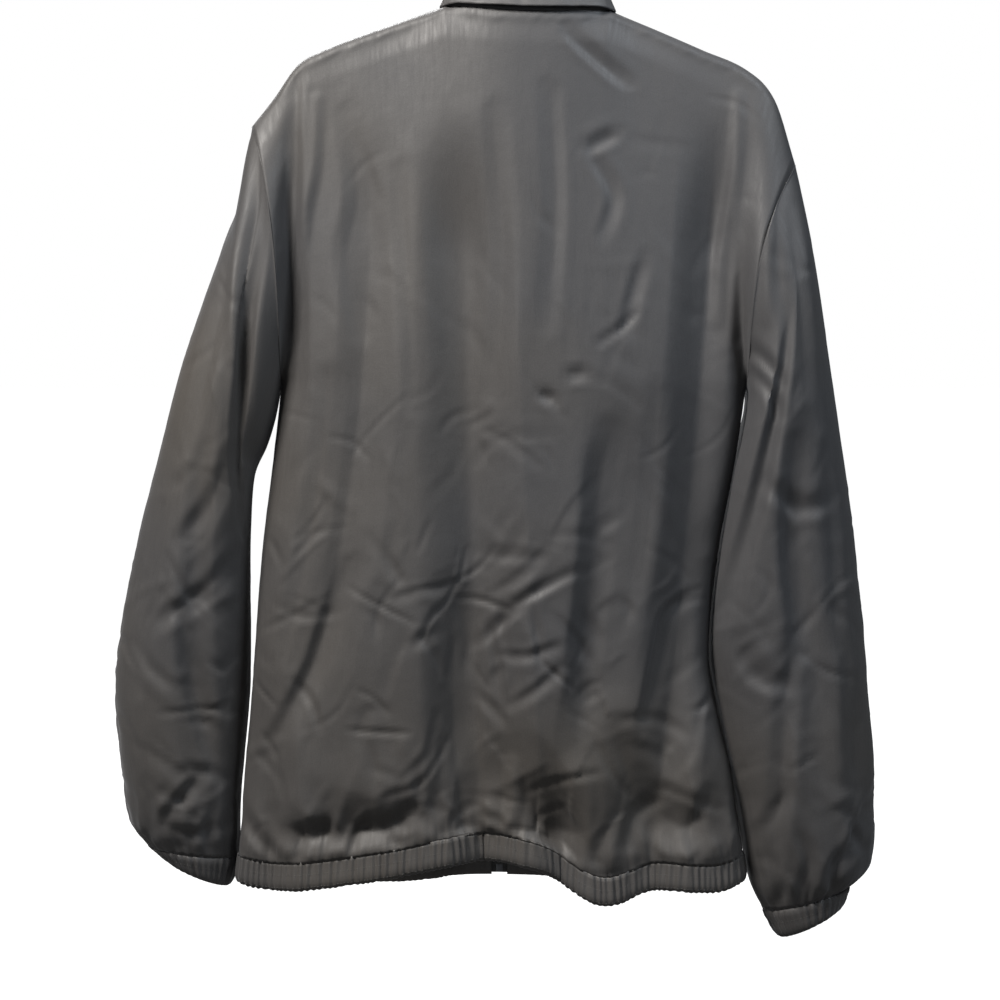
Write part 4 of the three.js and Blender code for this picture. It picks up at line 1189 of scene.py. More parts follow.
@dataclass(frozen=True)
class Nylon:
    """Thin plain-woven nylon with a slight sheen, its reliefs in metres."""

    name: str = "shell_nylon"
    tint: tuple[float, float, float] = (0.041, 0.0375, 0.034)
    drift: tuple[float, float, float] = (0.034, 0.034, 0.036)
    roughness: float = 0.6
    sheen: float = 0.08
    gloss: float = 0.34
    weave_scale: float = 62.0
    weave_relief: float = 0.00008
    thread_relief: float = 0.00025
    crumple_relief: float = 0.0012

    def material(self) -> bpy.types.Material:
        """Builds the material.

        Returns:
            The material.
        """
        sheet = Surface(self.name)
        uv = sheet.node("ShaderNodeTexCoord").outputs["UV"]
        place = sheet.node("ShaderNodeTexCoord").outputs["Object"]
        patches = sheet.noise(place, scale=3.2, detail=2.0)
        threads = sheet.noise(uv, scale=34.0, detail=3.0, stretch=(1.0, 0.12, 1.0))
        grain = sheet.node("ShaderNodeHueSaturation")
        sheet.link(sheet.between(sheet.noise(uv, scale=95.0, detail=1.0), 0.86, 1.14), grain.inputs["Value"])
        sheet.link(sheet.blend(patches, self.tint, self.drift), grain.inputs["Color"])
        sheet.colour(grain.outputs["Color"])
        sheet.roughness(sheet.between(threads, self.roughness - 0.06, self.roughness + 0.08))
        warp = sheet.wave(uv, scale=self.weave_scale, across=True)
        weft = sheet.wave(uv, scale=self.weave_scale, across=False)
        weave = sheet.maths("MULTIPLY", warp, weft)
        crumple = sheet.noise(uv, scale=9.0, detail=3.0)
        bump = sheet.bump(weave, 0.1, self.weave_relief, None)
        bump = sheet.bump(threads, 0.1, self.thread_relief, bump)
        bump = sheet.bump(crumple, 0.16, self.crumple_relief, bump)
        sheet.normal(bump)
        sheet.shader.inputs["Sheen Weight"].default_value = self.sheen
        sheet.shader.inputs["Sheen Roughness"].default_value = 0.35
        sheet.shader.inputs["Sheen Tint"].default_value = (0.85, 0.88, 0.95, 1)
        sheet.shader.inputs["Specular IOR Level"].default_value = self.gloss
        return sheet.material


@dataclass(frozen=True)
class PlainFinish:
    """A finish of one colour that wears and drifts a little."""

    name: str
    colour: tuple[float, float, float]
    worn: tuple[float, float, float]
    roughness: float
    metallic: float = 0.0
    grain: float = 900.0
    depth: float = 0.00003

    def material(self) -> bpy.types.Material:
        """Builds the material.

        Returns:
            The material.
        """
        sheet = Surface(self.name)
        place = sheet.node("ShaderNodeTexCoord").outputs["Object"]
        drift = sheet.noise(place, scale=60.0, detail=3.0)
        fine = sheet.noise(place, scale=self.grain, detail=2.0)
        sheet.colour(sheet.blend(drift, self.colour, self.worn))
        sheet.roughness(sheet.between(fine, self.roughness - 0.05, self.roughness + 0.07))
        sheet.normal(sheet.bump(fine, 0.4, self.depth, None))
        sheet.shader.inputs["Metallic"].default_value = self.metallic
        return sheet.material


ZIP_METAL = PlainFinish("zip_metal", (0.045, 0.045, 0.048), (0.09, 0.09, 0.092), 0.34, metallic=0.9)
TEETH = PlainFinish("zip_teeth", (0.016, 0.016, 0.017), (0.022, 0.022, 0.023), 0.38)
TAPE = PlainFinish("zip_tape", (0.022, 0.022, 0.022), (0.03, 0.03, 0.029), 0.85, grain=2600.0, depth=0.00012)
THREAD = PlainFinish("thread", (0.05, 0.049, 0.047), (0.064, 0.062, 0.06), 0.6, grain=3000.0)
PLASTIC = PlainFinish("hanger_plastic", (0.011, 0.011, 0.012), (0.018, 0.018, 0.019), 0.36, grain=700.0)
FLOOR = PlainFinish("floor_paint", (0.08, 0.08, 0.08), (0.09, 0.09, 0.09), 0.9, grain=40.0)


def dress(piece: bpy.types.Object, material: bpy.types.Material) -> None:
    """Gives a piece its finish, and rides it on the garment.

    Args:
        piece: The piece.
        material: Its material.
    """
    piece.data.materials.clear()
    piece.data.materials.append(material)
    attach(piece, GARMENT)
    LOG.info("%s: %d faces", piece.name, len(piece.data.polygons))


@dataclass(frozen=True)
class Cloth:
    """The points of a cloth's outer side and their way out, with the lines that its stitches follow."""

    grid: np.ndarray
    out: np.ndarray

    PROUD = 0.12

    def row_line(self, row: int) -> np.ndarray:
        """Returns the line along a row, a little proud of the cloth."""
        return self.grid[row] + self.out[row] * self.PROUD

    def edge_line(self, distance: float) -> np.ndarray:
        """Finds the line beside the edge at the last column.

        Args:
            distance: How far from the edge, along the cloth.

        Returns:
            The line's points, a little proud of the cloth.
        """
        grid, out = self.grid[:, ::-1], self.out[:, ::-1]
        gone = np.cumsum(np.linalg.norm(np.diff(grid, axis=1), axis=2), axis=1)
        near = (gone < distance).sum(axis=1) + 1
        line = np.arange(len(grid))
        short = np.where(near > 1, gone[line, near - 2], 0)
        share = ((distance - short) / (gone[line, near - 1] - short))[:, None]
        return mix(grid[line, near - 1], grid[line, near], share) + out[line, near] * self.PROUD


def turned_out(way: np.ndarray, part: np.ndarray, out: np.ndarray) -> np.ndarray:
    """Returns a grid's ways as unit ones, turned over where a part of them points in."""
    return unit(-way if (part * out).sum() < 0 else way)


def seam_swell(distance: np.ndarray, along: np.ndarray, noise: Noise) -> np.ndarray:
    """Returns how far cloth swells beside a seam, unevenly along it."""
    uneven = 1 + 0.9 * noise.at(along / 11, distance / 40)
    return 0.5 * uneven * np.exp(-(((distance - 6) / 5) ** 2))


@dataclass
class Panels:
    """The back and the two fronts."""

    torso: Torso
    nylon: bpy.types.Material
    low_rows: int = 140
    high_rows: int = 106
    shoulder_columns: int = 62
    neck_columns: int = 72
    corner_passes: int = 80
    noise: Noise = field(default_factory=lambda: Noise(11))

    def rises(self) -> np.ndarray:
        """Returns the rows, close together where the armhole turns over the shoulder."""
        upper = np.sin(np.linspace(0, math.pi / 2, self.high_rows + 1))
        return np.concatenate([np.linspace(-1, 0, self.low_rows + 1), upper[1:]])[:, None]

    def columns(self, face: Face, side: Side | None, rise: np.ndarray) -> np.ndarray:
        """Finds the columns of a panel.

        Args:
            face: The back or the front; not used.
            side: The front's side, or none for the back.
            rise: The rows.

        Returns:
            The across value of every row and column.
        """
        share = self.torso.neck_share
        if side is None:
            half = np.concatenate([
                np.linspace(0, share, self.neck_columns // 2 + 1),
                np.linspace(share, 1, self.shoulder_columns + 1)[1:],
            ])
            return np.broadcast_to(np.concatenate([-half[:0:-1], half]), (len(rise), 2 * len(half) - 1))
        outer = side.value * np.linspace(1, share, self.shoulder_columns + 1)
        edge = beside_zip(self.torso, side.value * ZIP_HALF, rise)
        inner = mix(side.value * share, edge, np.linspace(0, 1, self.neck_columns // 2 + 1)[1:])
        return np.concatenate([np.broadcast_to(outer, (len(rise), len(outer))), inner], axis=1)

    def cloth(self, face: Face, side: Side | None) -> tuple[np.ndarray, np.ndarray]:
        """Shapes a panel.

        Args:
            face: The back or the front.
            side: The front's side, or none for the back.

        Returns:
            The grid and its way out.
        """
        rise = self.rises()
        across = self.columns(face, side, rise)
        rise = np.broadcast_to(rise, across.shape)
        form = self.torso.folded(face, across, rise)
        top = self.torso.top_edge(face, across)[..., 2]
        below = top - form[..., 2]
        corner = np.exp(-(((np.abs(form[..., 0]) - self.torso.neck_half_width) / 16) ** 2)) * ease(below / 8)
        steps = np.abs(np.diff(form[..., 0], axis=1)) + 0.01
        share = steps[:, :-1] / (steps[:, :-1] + steps[:, 1:])
        for _ in range(self.corner_passes):
            beside = mix(form[:, :-2, 1], form[:, 2:, 1], share)
            form[:, 1:-1, 1] = mix(form[:, 1:-1, 1], beside, 0.7 * corner[:, 1:-1])
        behind = form * (1, 0, 1) - (0, 90 * face.value, 0)
        out = normals(form, False, behind)
        out[0] = hem_out(self.torso, face, across[0])
        x, z = form[..., 0], form[..., 2]
        s = across * HALF_GIRTH
        at_side, at_hem = (1 - np.abs(across)) * HALF_GIRTH, (1 + rise) * HEM_TO_ARMPIT
        at_top = np.maximum(top - z, 0)
        at_zip = np.abs(s - s[:, -1:]) if side is not None else np.full(s.shape, 500.0)
        edge = np.minimum.reduce([at_side, at_top, at_zip])
        inside = ease(np.minimum(edge, at_hem) / 9)
        near_arm = ease(at_side / 42)
        ends = ease(edge / 3) * (0.3 + 0.7 * near_arm) * ease(at_hem / 40)
        lift = seam_swell(edge, s + z, self.noise) * ends
        plain = ease((at_zip - 14) / 20) if side is not None else 1.0
        puckers = HEM_GATHERS.above(s, at_hem) * plain * (0.3 + 0.7 * near_arm)
        lift += np.where(at_hem > 0, puckers * ease(np.minimum(at_side, at_zip) / 10), 0)
        lift[0] = hem_lift(across[0], face)
        table = BACK_CREASES if face is Face.BACK else FRONT_CREASES
        sink = sum(crease.sink(x, z) for crease in table)
        crushed = PANEL_CRUSH[face].at(x, z) * (0.45 + 0.65 * ease((-400 - z) / 260))
        lift += (crushed - sink) * inside * (0.25 + 0.75 * near_arm)
        form = form + out * lift[..., None]
        return form, normals(form, False, behind)

    def build(self) -> dict[str, Cloth]:
        """Makes the three panels.

        Returns:
            The panels by name.
        """
        made = {}
        for name, face, side, flat, area in (
            ("back", Face.BACK, None, (0.63, 0.80), 0.36),
            ("front_left", Face.FRONT, Side.LEFT, (0.34, 0.80), 0.18),
            ("front_right", Face.FRONT, Side.RIGHT, (0.34, 0.80), 0.18),
        ):
            grid, out = self.cloth(face, side)
            piece = shell(f"{name}_cloth", grid, out)
            dress(piece, self.nylon)
            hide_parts(name)
            made[name] = Cloth(grid, out)
        return made


@dataclass
class Sleeves:
    """The two sleeves."""

    torso: Torso
    nylon: bpy.types.Material
    rows: int = 170
    around: int = 132

    def cloth(self, side: Side) -> tuple[np.ndarray, np.ndarray]:
        """Shapes a sleeve.

        Args:
            side: The wearer's side.

        Returns:
            The grid and its way out.
        """
        arm = Arm(side, self.torso)
        noise = Noise(51 if side is Side.LEFT else 52)
        t = np.linspace(0, 1, self.rows + 1)[:, None]
        turn = np.linspace(0, 1, self.around, endpoint=False)[None]
        t, turn = np.broadcast_arrays(t, turn)
        form = arm.folded(turn, t)
        middle = arm.middle(t)
        out = normals(form, True, middle)
        out[-1] = unit(form[-1] - middle[-1])
        x, z = form[..., 0], form[..., 2]
        back = ease(np.sin(turn * 2 * math.pi) * 2 + 0.5)
        shift = 14 * side.value
        sink = sum(c.sink(x, z) for c in SLEEVE_CREASES[side]) * back
        sink = sink + sum(c.sink(x - shift, z + 26) for c in SLEEVE_CREASES[side]) * (1 - back) * 0.8
        from_hole, from_cuff = t * ARM_LENGTH, (1 - t) * (ARM_LENGTH - 40)
        ends = ease(np.minimum(from_hole, from_cuff) / 10)
        inner = np.exp(-(((turn - 0.5) / 0.11) ** 2)) * ease((-400 - z) / 30)
        free_arm = 1 - 0.75 * inner
        round_way = turn * ARM_GIRTH
        lift = seam_swell(from_hole, round_way, noise) * ease(from_hole / 3)
        puckers = CUFF_GATHERS.above(round_way, from_cuff) * (0.6 + 0.4 * free_arm)
        lift += np.where(from_cuff > 0, puckers * ease(from_hole / 60), 0)
        lift[-1] = CUFF_GATHERS.at_seam(round_way[-1])
        crushed = SLEEVE_CRUSH[side].at(x + shift * 6 * (1 - back), z) * (0.5 + 0.6 * ease((t - 0.35) / 0.5))
        lift += (crushed - sink) * ends * free_arm
        form = form + out * lift[..., None]
        return form, normals(form, True, middle)

    def build(self) -> None:
        """Makes both sleeves."""
        for side in Side:
            name = f"sleeve_{side.name.lower()}"
            grid, out = self.cloth(side)
            piece = shell(f"{name}_cloth", grid, out, closed=True)
            dress(piece, self.nylon)
            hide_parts(name)


@dataclass
class HemBand:
    """The elastic hem: a strip folded over its elastic and gathered on to the body."""

    torso: Torso
    nylon: bpy.types.Material
    columns: int = 880
    height: float = 24.0
    rib: float = 5.4
    profile: tuple[tuple[float, float], ...] = (
        (-0.6, -1.6),
        (-0.6, 0.1),
        (-0.1, 0.7),
        (0.1, 2.2),
        (0.7, 6.0),
        (1.2, 9.5),
        (1.9, 13.0),
        (2.4, 17.0),
        (2.2, 20.5),
        (1.0, 23.2),
        (-1.0, 24.0),
        (-2.3, 22.6),
        (-2.7, 17.0),
        (-2.7, 9.0),
        (-2.2, 1.0),
    )

    def build(self) -> Cloth:
        """Makes the hem band.

        Returns:
            The band.
        """
        noise = Noise(71)
        left, right = (float(beside_zip(self.torso, s * ZIP_HALF, np.array([-1.0]))[0]) for s in (1, -1))
        quarter = self.columns // 4
        girth = [(Face.FRONT, np.linspace(left, 1, quarter, endpoint=False))]
        girth += [(Face.BACK, np.linspace(1, -1, 2 * quarter, endpoint=False))]
        girth += [(Face.FRONT, np.linspace(-1, right, quarter + 1))]
        seam, out, lift, s = [], [], [], []
        for face, across in girth:
            seam.append(self.torso.folded(face, across, -1.0))
            out.append(hem_out(self.torso, face, across))
            lift.append(hem_lift(across, face))
            near_zip = np.minimum(np.abs(across - left), np.abs(across - right)) * HALF_GIRTH
            s.append(near_zip if face is Face.FRONT else np.full(len(across), 200.0))
        seam, out, lift = np.concatenate(seam), np.concatenate(out), np.concatenate(lift)
        plain = ease((np.concatenate(s) - 22) / 20)
        length = np.concatenate([[0], np.cumsum(np.linalg.norm(np.diff(seam, axis=0), axis=1))])
        warp = 3 * noise.at(length / 20, length * 0)
        uneven = 0.55 + 0.4 * noise.at(length / 13, length * 0 + 2.5)
        fine = np.cos(2 * math.pi * (length + warp) / self.rib) * uneven
        rows = []
        for bulge, drop in self.profile:
            share = drop / self.height
            wave = lift * (1 - 0.55 * share) + fine * plain * math.sin(math.pi * min(1, 0.08 + share * 0.8))
            sway = 0.6 * noise.at(length / 15, length * 0 + drop / 9) * plain
            point = seam + out * (bulge + wave * (1 if bulge > -1.5 else 0.5))[:, None]
            point[:, 2] -= drop + sway * share + 1.3 * fine * plain * max(0.0, share - 0.5)
            rows.append(point)
        grid = np.stack(rows)
        mid = len(self.profile) // 2
        way = np.cross(np.gradient(grid, axis=1), np.gradient(grid, axis=0))
        way = turned_out(way, way[1:mid], out)
        piece = shell("hem_band_cloth", grid, way)
        dress(piece, self.nylon)
        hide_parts("hem_band")
        return Cloth(grid, way)


CUFF_COLUMNS = ("outer_x", "outer_z", "inner_x", "inner_z", "mid_y", "half_depth")
CUFF = {
    Side.LEFT: (321, -836, 264, -859, -15, 31),
    Side.RIGHT: (282, -878, 224, -906, -17, 31),
}


@dataclass
class Cuffs:
    """The two elastic cuffs, each a strip folded over its elastic."""

    torso: Torso
    nylon: bpy.types.Material
    columns: int = 192
    ribs: int = 34
    profile: tuple[tuple[float, float], ...] = (
        (-0.6, -0.06),
        (-0.6, 0.005),
        (-0.1, 0.03),
        (0.9, 0.1),
        (1.4, 0.28),
        (0.8, 0.45),
        (1.3, 0.62),
        (1.1, 0.82),
        (0.2, 0.96),
        (-1.0, 1.0),
        (-2.1, 0.93),
        (-2.4, 0.7),
        (-2.4, 0.35),
        (-2.0, 0.05),
    )

    def build(self) -> dict[str, Cloth]:
        """Makes both cuffs.

        Returns:
            The cuffs by name.
        """
        made = {}
        for side in Side:
            name = f"cuff_{side.name.lower()}"
            noise = Noise(83 if side is Side.LEFT else 84)
            turn = np.linspace(0, 1, self.columns, endpoint=False)
            angle = turn * 2 * math.pi
            arm = Arm(side, self.torso)
            seam = arm.folded(turn, np.ones_like(turn))
            middle = arm.middle(np.array([1.0]))[0]
            out = unit(seam - middle)
            edge = dict(zip(CUFF_COLUMNS, CUFF[side]))
            s = side.value
            outer = np.array([s * edge["outer_x"], edge["mid_y"], edge["outer_z"]], float)
            inner = np.array([s * edge["inner_x"], edge["mid_y"], edge["inner_z"]], float)
            mouth = (outer + inner) / 2 + np.cos(angle)[:, None] * (outer - inner) / 2
            mouth[:, 1] += edge["half_depth"] * np.sin(angle)
            lift = CUFF_GATHERS.at_seam(turn * ARM_GIRTH)
            fine = np.cos(self.ribs * angle + 2.4 * np.sin(3 * angle + 1) + 1.6 * np.cos(5 * angle))
            rows = []
            for bulge, share in self.profile:
                swell = math.sin(math.pi * min(1.0, 0.08 + share * 0.8))
                wave = lift * (1 - 0.6 * share) + 0.7 * fine * swell
                wave = wave + 0.5 * noise.at(np.cos(angle) * 3 + 8, np.sin(angle) * 3 + 8 + share)
                stand = bulge - 0.8 * share + wave * (1 if bulge > -1.5 else 0.4)
                rows.append(mix(seam, mouth, share) + out * stand[:, None])
            grid = np.stack(rows)
            wide = np.concatenate([grid[:, -1:], grid, grid[:, :1]], axis=1)
            way = np.cross(wide[:, 2:] - wide[:, :-2], np.gradient(grid, axis=0))
            way = turned_out(way, way[1:6], out)
            piece = shell(f"{name}_cloth", grid, way, closed=True)
            dress(piece, self.nylon)
            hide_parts(name)
            made[name] = Cloth(grid, way)
        return made


@dataclass
class Collar:
    """The turned-down collar: a stand that leans in, and a fall over it."""

    torso: Torso
    nylon: bpy.types.Material
    stand: float = 36.0
    stand_front: float = 27.0
    lean: float = 16.0
    turn: float = 4.0
    edge_back: float = 3.0
    edge_front: float = -36.0
    side_drop: float = 4.5
    flare: float = 5.0
    flare_front: float = 17.0
    around: int = 220

    def marks(self, angle: np.ndarray) -> np.ndarray:
        """Finds the outline of the collar at each angle.

        Args:
            angle: Angles round the neck.

        Returns:
            Rows of marks, each (out, high) in millimetres.
        """
        forward = ease((np.abs(angle) - 1.6) / 1.3)
        stand = mix(self.stand, self.stand_front, forward)
        beside = self.side_drop * np.exp(-(((np.abs(angle) - 1.5) / 0.45) ** 2))
        fall = stand - mix(self.edge_back, self.edge_front, forward) + beside
        lie = mix(self.flare, self.flare_front, forward)
        lean, turn, zero = self.lean, self.turn, np.zeros_like(angle)
        over = -lean + turn * 2
        marks = [
            (zero, zero),
            (zero - lean * 0.4, stand * 0.4),
            (zero - lean * 0.8, stand * 0.8),
            (zero - lean, stand),
            (zero - lean + turn * 0.5, stand + turn * 0.8),
            (zero - lean + turn * 1.4, stand + turn * 0.6),
            (zero + over, stand - turn * 0.6),
            (mix(over, lie, mix(0.3, 0.6, forward)), stand - fall * mix(0.45, 0.35, forward)),
            (mix(over, lie, mix(0.65, 0.9, forward)), stand - fall * mix(0.78, 0.7, forward)),
            (lie - 1.0, stand - fall),
        ]
        return np.stack([np.stack(mark, axis=-1) for mark in marks], axis=1)

    def build(self) -> Cloth:
        """Makes the collar.

        Returns:
            The collar.
        """
        noise = Noise(97)
        edge = math.asin(beside_zip(self.torso, ZIP_HALF, np.array([1.0]))[0] / self.torso.neck_share)
        angle = np.linspace(-(math.pi - edge), math.pi - edge, self.around)
        marks = through(self.marks(angle), 4)
        foot = self.torso.neck(angle)
        away = join(np.sin(angle), np.cos(angle), 0.0)
        grid = foot[:, None] + away[:, None] * marks[..., :1]
        grid[..., 2] += marks[..., 1]
        way = np.cross(np.gradient(grid, axis=1), np.gradient(grid, axis=0))
        way = turned_out(way, way[:, 3:8], away[:, None])
        column = np.linspace(0, 1, grid.shape[1])[None]
        place = angle[:, None]
        ripple = 0.9 * noise.at(place * 2.2, column * 2.5) + 0.5 * noise.at(place * 7, column * 5 + 9)
        grid = grid + way * (ripple * ease(column / 0.2))[..., None]
        piece = shell("collar_cloth", grid, way, thickness=0.9)
        dress(piece, self.nylon)
        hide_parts("collar")
        return Cloth(grid, way)


@dataclass
class Repeat:
    """A node tree that sets one small shape again and again along a line."""

    name: str
    spacing: float
    length: float
    thickness: float
    seed: int = 3

    def tree(self, material: bpy.types.Material) -> bpy.types.NodeTree:
        """Builds the node tree.

        Args:
            material: The finish of the shapes.

        Returns:
            The tree.
        """
        tree = bpy.data.node_groups.new(self.name, "GeometryNodeTree")
        face = tree.interface
        face.new_socket("Geometry", in_out="INPUT", socket_type="NodeSocketGeometry")
        for label in ("Spacing", "Length", "Thickness"):
            face.new_socket(label, in_out="INPUT", socket_type="NodeSocketFloat")
        face.new_socket("Geometry", in_out="OUTPUT", socket_type="NodeSocketGeometry")
        node, link = tree.nodes.new, tree.links.new
        start, end = node("NodeGroupInput"), node("NodeGroupOutput")
        curve, even = node("GeometryNodeMeshToCurve"), node("GeometryNodeResampleCurve")
        even.mode = "LENGTH"
        link(start.outputs["Geometry"], curve.inputs["Mesh"])
        link(curve.outputs["Curve"], even.inputs["Curve"])
        link(start.outputs["Spacing"], even.inputs["Length"])
        tangent, turned = node("GeometryNodeInputTangent"), node("FunctionNodeAlignRotationToVector")
        turned.axis = "Z"
        link(tangent.outputs["Tangent"], turned.inputs["Vector"])
        drift = node("FunctionNodeRandomValue")
        drift.data_type = "FLOAT"
        drift.inputs["Seed"].default_value = self.seed
        limits = [one for one in drift.inputs if one.name in ("Min", "Max") and one.type == "VALUE"]
        limits[0].default_value, limits[1].default_value = 0.9, 1.1
        shape = node("GeometryNodeMeshIcoSphere")
        shape.inputs["Subdivisions"].default_value = 1
        shape.inputs["Radius"].default_value = 0.5
        size, scaled = node("ShaderNodeCombineXYZ"), node("GeometryNodeTransform")
        for axis, source in zip("XYZ", ("Thickness", "Thickness", "Length")):
            link(start.outputs[source], size.inputs[axis])
        link(shape.outputs["Mesh"], scaled.inputs["Geometry"])
        link(size.outputs["Vector"], scaled.inputs["Scale"])
        spread, plain = node("GeometryNodeInstanceOnPoints"), node("GeometryNodeRealizeInstances")
        finish = node("GeometryNodeSetMaterial")
        finish.inputs["Material"].default_value = material
        link(even.outputs["Curve"], spread.inputs["Points"])
        link(scaled.outputs["Geometry"], spread.inputs["Instance"])
        link(turned.outputs["Rotation"], spread.inputs["Rotation"])
        link(drift.outputs[1], spread.inputs["Scale"])
        link(spread.outputs["Instances"], plain.inputs["Geometry"])
        link(plain.outputs["Geometry"], finish.inputs["Geometry"])
        link(finish.outputs["Geometry"], end.inputs["Geometry"])
        return tree

    def along(self, name: str, lines: list[np.ndarray], material: bpy.types.Material) -> bpy.types.Object:
        """Sets the shapes along lines.

        Args:
            name: The piece's name.
            lines: Lines of points in millimetres.
            material: The finish.

        Returns:
            The piece, as a plain mesh.
        """
        points = np.concatenate(lines) * MM
        edges, first = [], 0
        for line in lines:
            index = np.arange(first, first + len(line) - 1)
            edges.append(np.stack([index, index + 1], axis=1))
            first += len(line)
        guide = bpy.data.meshes.new(f"{name}_guide")
        guide.from_pydata(points.tolist(), np.concatenate(edges).tolist(), [])
        piece = bpy.data.objects.new(name, guide)
        bpy.context.scene.collection.objects.link(piece)
        modifier = piece.modifiers.new("Repeat", "NODES")
        modifier.node_group = self.tree(material)
        values = {"Spacing": self.spacing, "Length": self.length, "Thickness": self.thickness}
        for item in modifier.node_group.interface.items_tree:
            if item.item_type == "SOCKET" and item.in_out == "INPUT" and item.name in values:
                modifier[item.identifier] = values[item.name] * MM
        bpy.context.view_layer.update()
        graph = bpy.context.evaluated_depsgraph_get()
        mesh = bpy.data.meshes.new_from_object(piece.evaluated_get(graph))
        piece.modifiers.remove(modifier)
        piece.data = mesh
        mesh.polygons.foreach_set("use_smooth", np.ones(len(mesh.polygons), dtype=bool))
        bpy.data.meshes.remove(guide)
        return piece


@dataclass
class Stitching:
    """The rows of stitches that show, in a thread of the cloth's own colour."""

    spacing: float = 3.2
    length: float = 2.4
    thickness: float = 0.36

    def build(self, lines: dict[str, list[np.ndarray]]) -> None:
        """Makes the stitches.

        Args:
            lines: Lines of points, by the piece that they hold.
        """
        thread = THREAD.material()
        for name, rows in lines.items():
            maker = Repeat(f"{name}_stitches", self.spacing, self.length, self.thickness)
            piece = maker.along(f"{name}_stitches", rows, thread)
            dress(piece, thread)


@dataclass
class FrontZip:
    """The zip: two tapes, its teeth, the box at its foot, the slider and the pull tab."""

    torso: Torso
    half_chain: float = 2.8
    half_core: float = 4.6
    tooth_middle: float = 1.25
    tape_reach: float = 13.0
    tape_under: float = 1.0
    hem_drop: float = 22.0
    chain_drop: float = 14.8
    top: float = 0.965

    def strip(
        self, offsets: list[float], proud: float, top: float, drop: float
    ) -> tuple[np.ndarray, np.ndarray]:
        """Finds a strip along the zip.

        Args:
            offsets: Distances beside the zip's middle.
            proud: How far it stands out of the fronts.
            top: The rise of its top.
            drop: How far it runs below the hem's seam.

        Returns:
            The grid and its way out.
        """
        rise = np.linspace(-1, top, 190)
        columns = []
        for offset in offsets:
            across = beside_zip(self.torso, offset, rise)
            columns.append(self.torso.folded(Face.FRONT, across, rise))
        grid = np.stack(columns, axis=1)
        foot = grid[0][None] - np.linspace(drop, 0, 8, endpoint=False)[:, None, None] * (0, 0, 1)
        grid = np.concatenate([foot, grid])
        way = np.cross(np.gradient(grid, axis=1), np.gradient(grid, axis=0))
        way = unit(way * np.where(way[..., 1:2] > 0, -1, 1))
        return grid + way * proud, way

    def build(self) -> None:
        """Makes the zip."""
        tape, teeth, metal = TAPE.material(), TEETH.material(), ZIP_METAL.material()
        for side in Side:
            name, s = f"zip_tape_{side.name.lower()}", side.value
            offsets = [s * x for x in np.linspace(self.half_chain + 0.2, self.tape_reach, 6)]
            grid, way = self.strip(offsets, -self.tape_under, 0.99, self.hem_drop)
            piece = shell(f"{name}_cloth", grid, way, thickness=0.5)
            dress(piece, tape)
            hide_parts(name)
        offsets = [self.half_core * x for x in (-1, -0.5, 0, 0.5, 1)]
        core, way = self.strip(offsets, -1.65, self.top, self.chain_drop)
        base = shell("zip_core", core, way, thickness=0.9)
        dress(base, tape)
        lines = []
        for side in Side:
            middle = side.value * self.tooth_middle
            pair, _ = self.strip([middle - 0.4, middle + 0.4], -0.6, self.top, self.chain_drop)
            lines.append(pair.mean(axis=1))
        piece = Repeat("zip_teeth", spacing=1.7, length=1.25, thickness=2.6).along("zip_teeth", lines, teeth)
        dress(piece, teeth)
        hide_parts("zip_chain")
        for name in ("zip_box", "zip_slider", "zip_pull"):
            node = bpy.data.objects[name]
            node.data.materials.clear()
            node.data.materials.append(metal)
            weld = node.modifiers.new("Weld", "WELD")
            weld.merge_threshold = 0.00001
            bevel = node.modifiers.new("Bevel", "BEVEL")
            bevel.width, bevel.segments, bevel.limit_method = 0.00035, 2, "ANGLE"
            bevel.angle_limit = math.radians(35)
            LOG.info("%s: finished in metal", name)


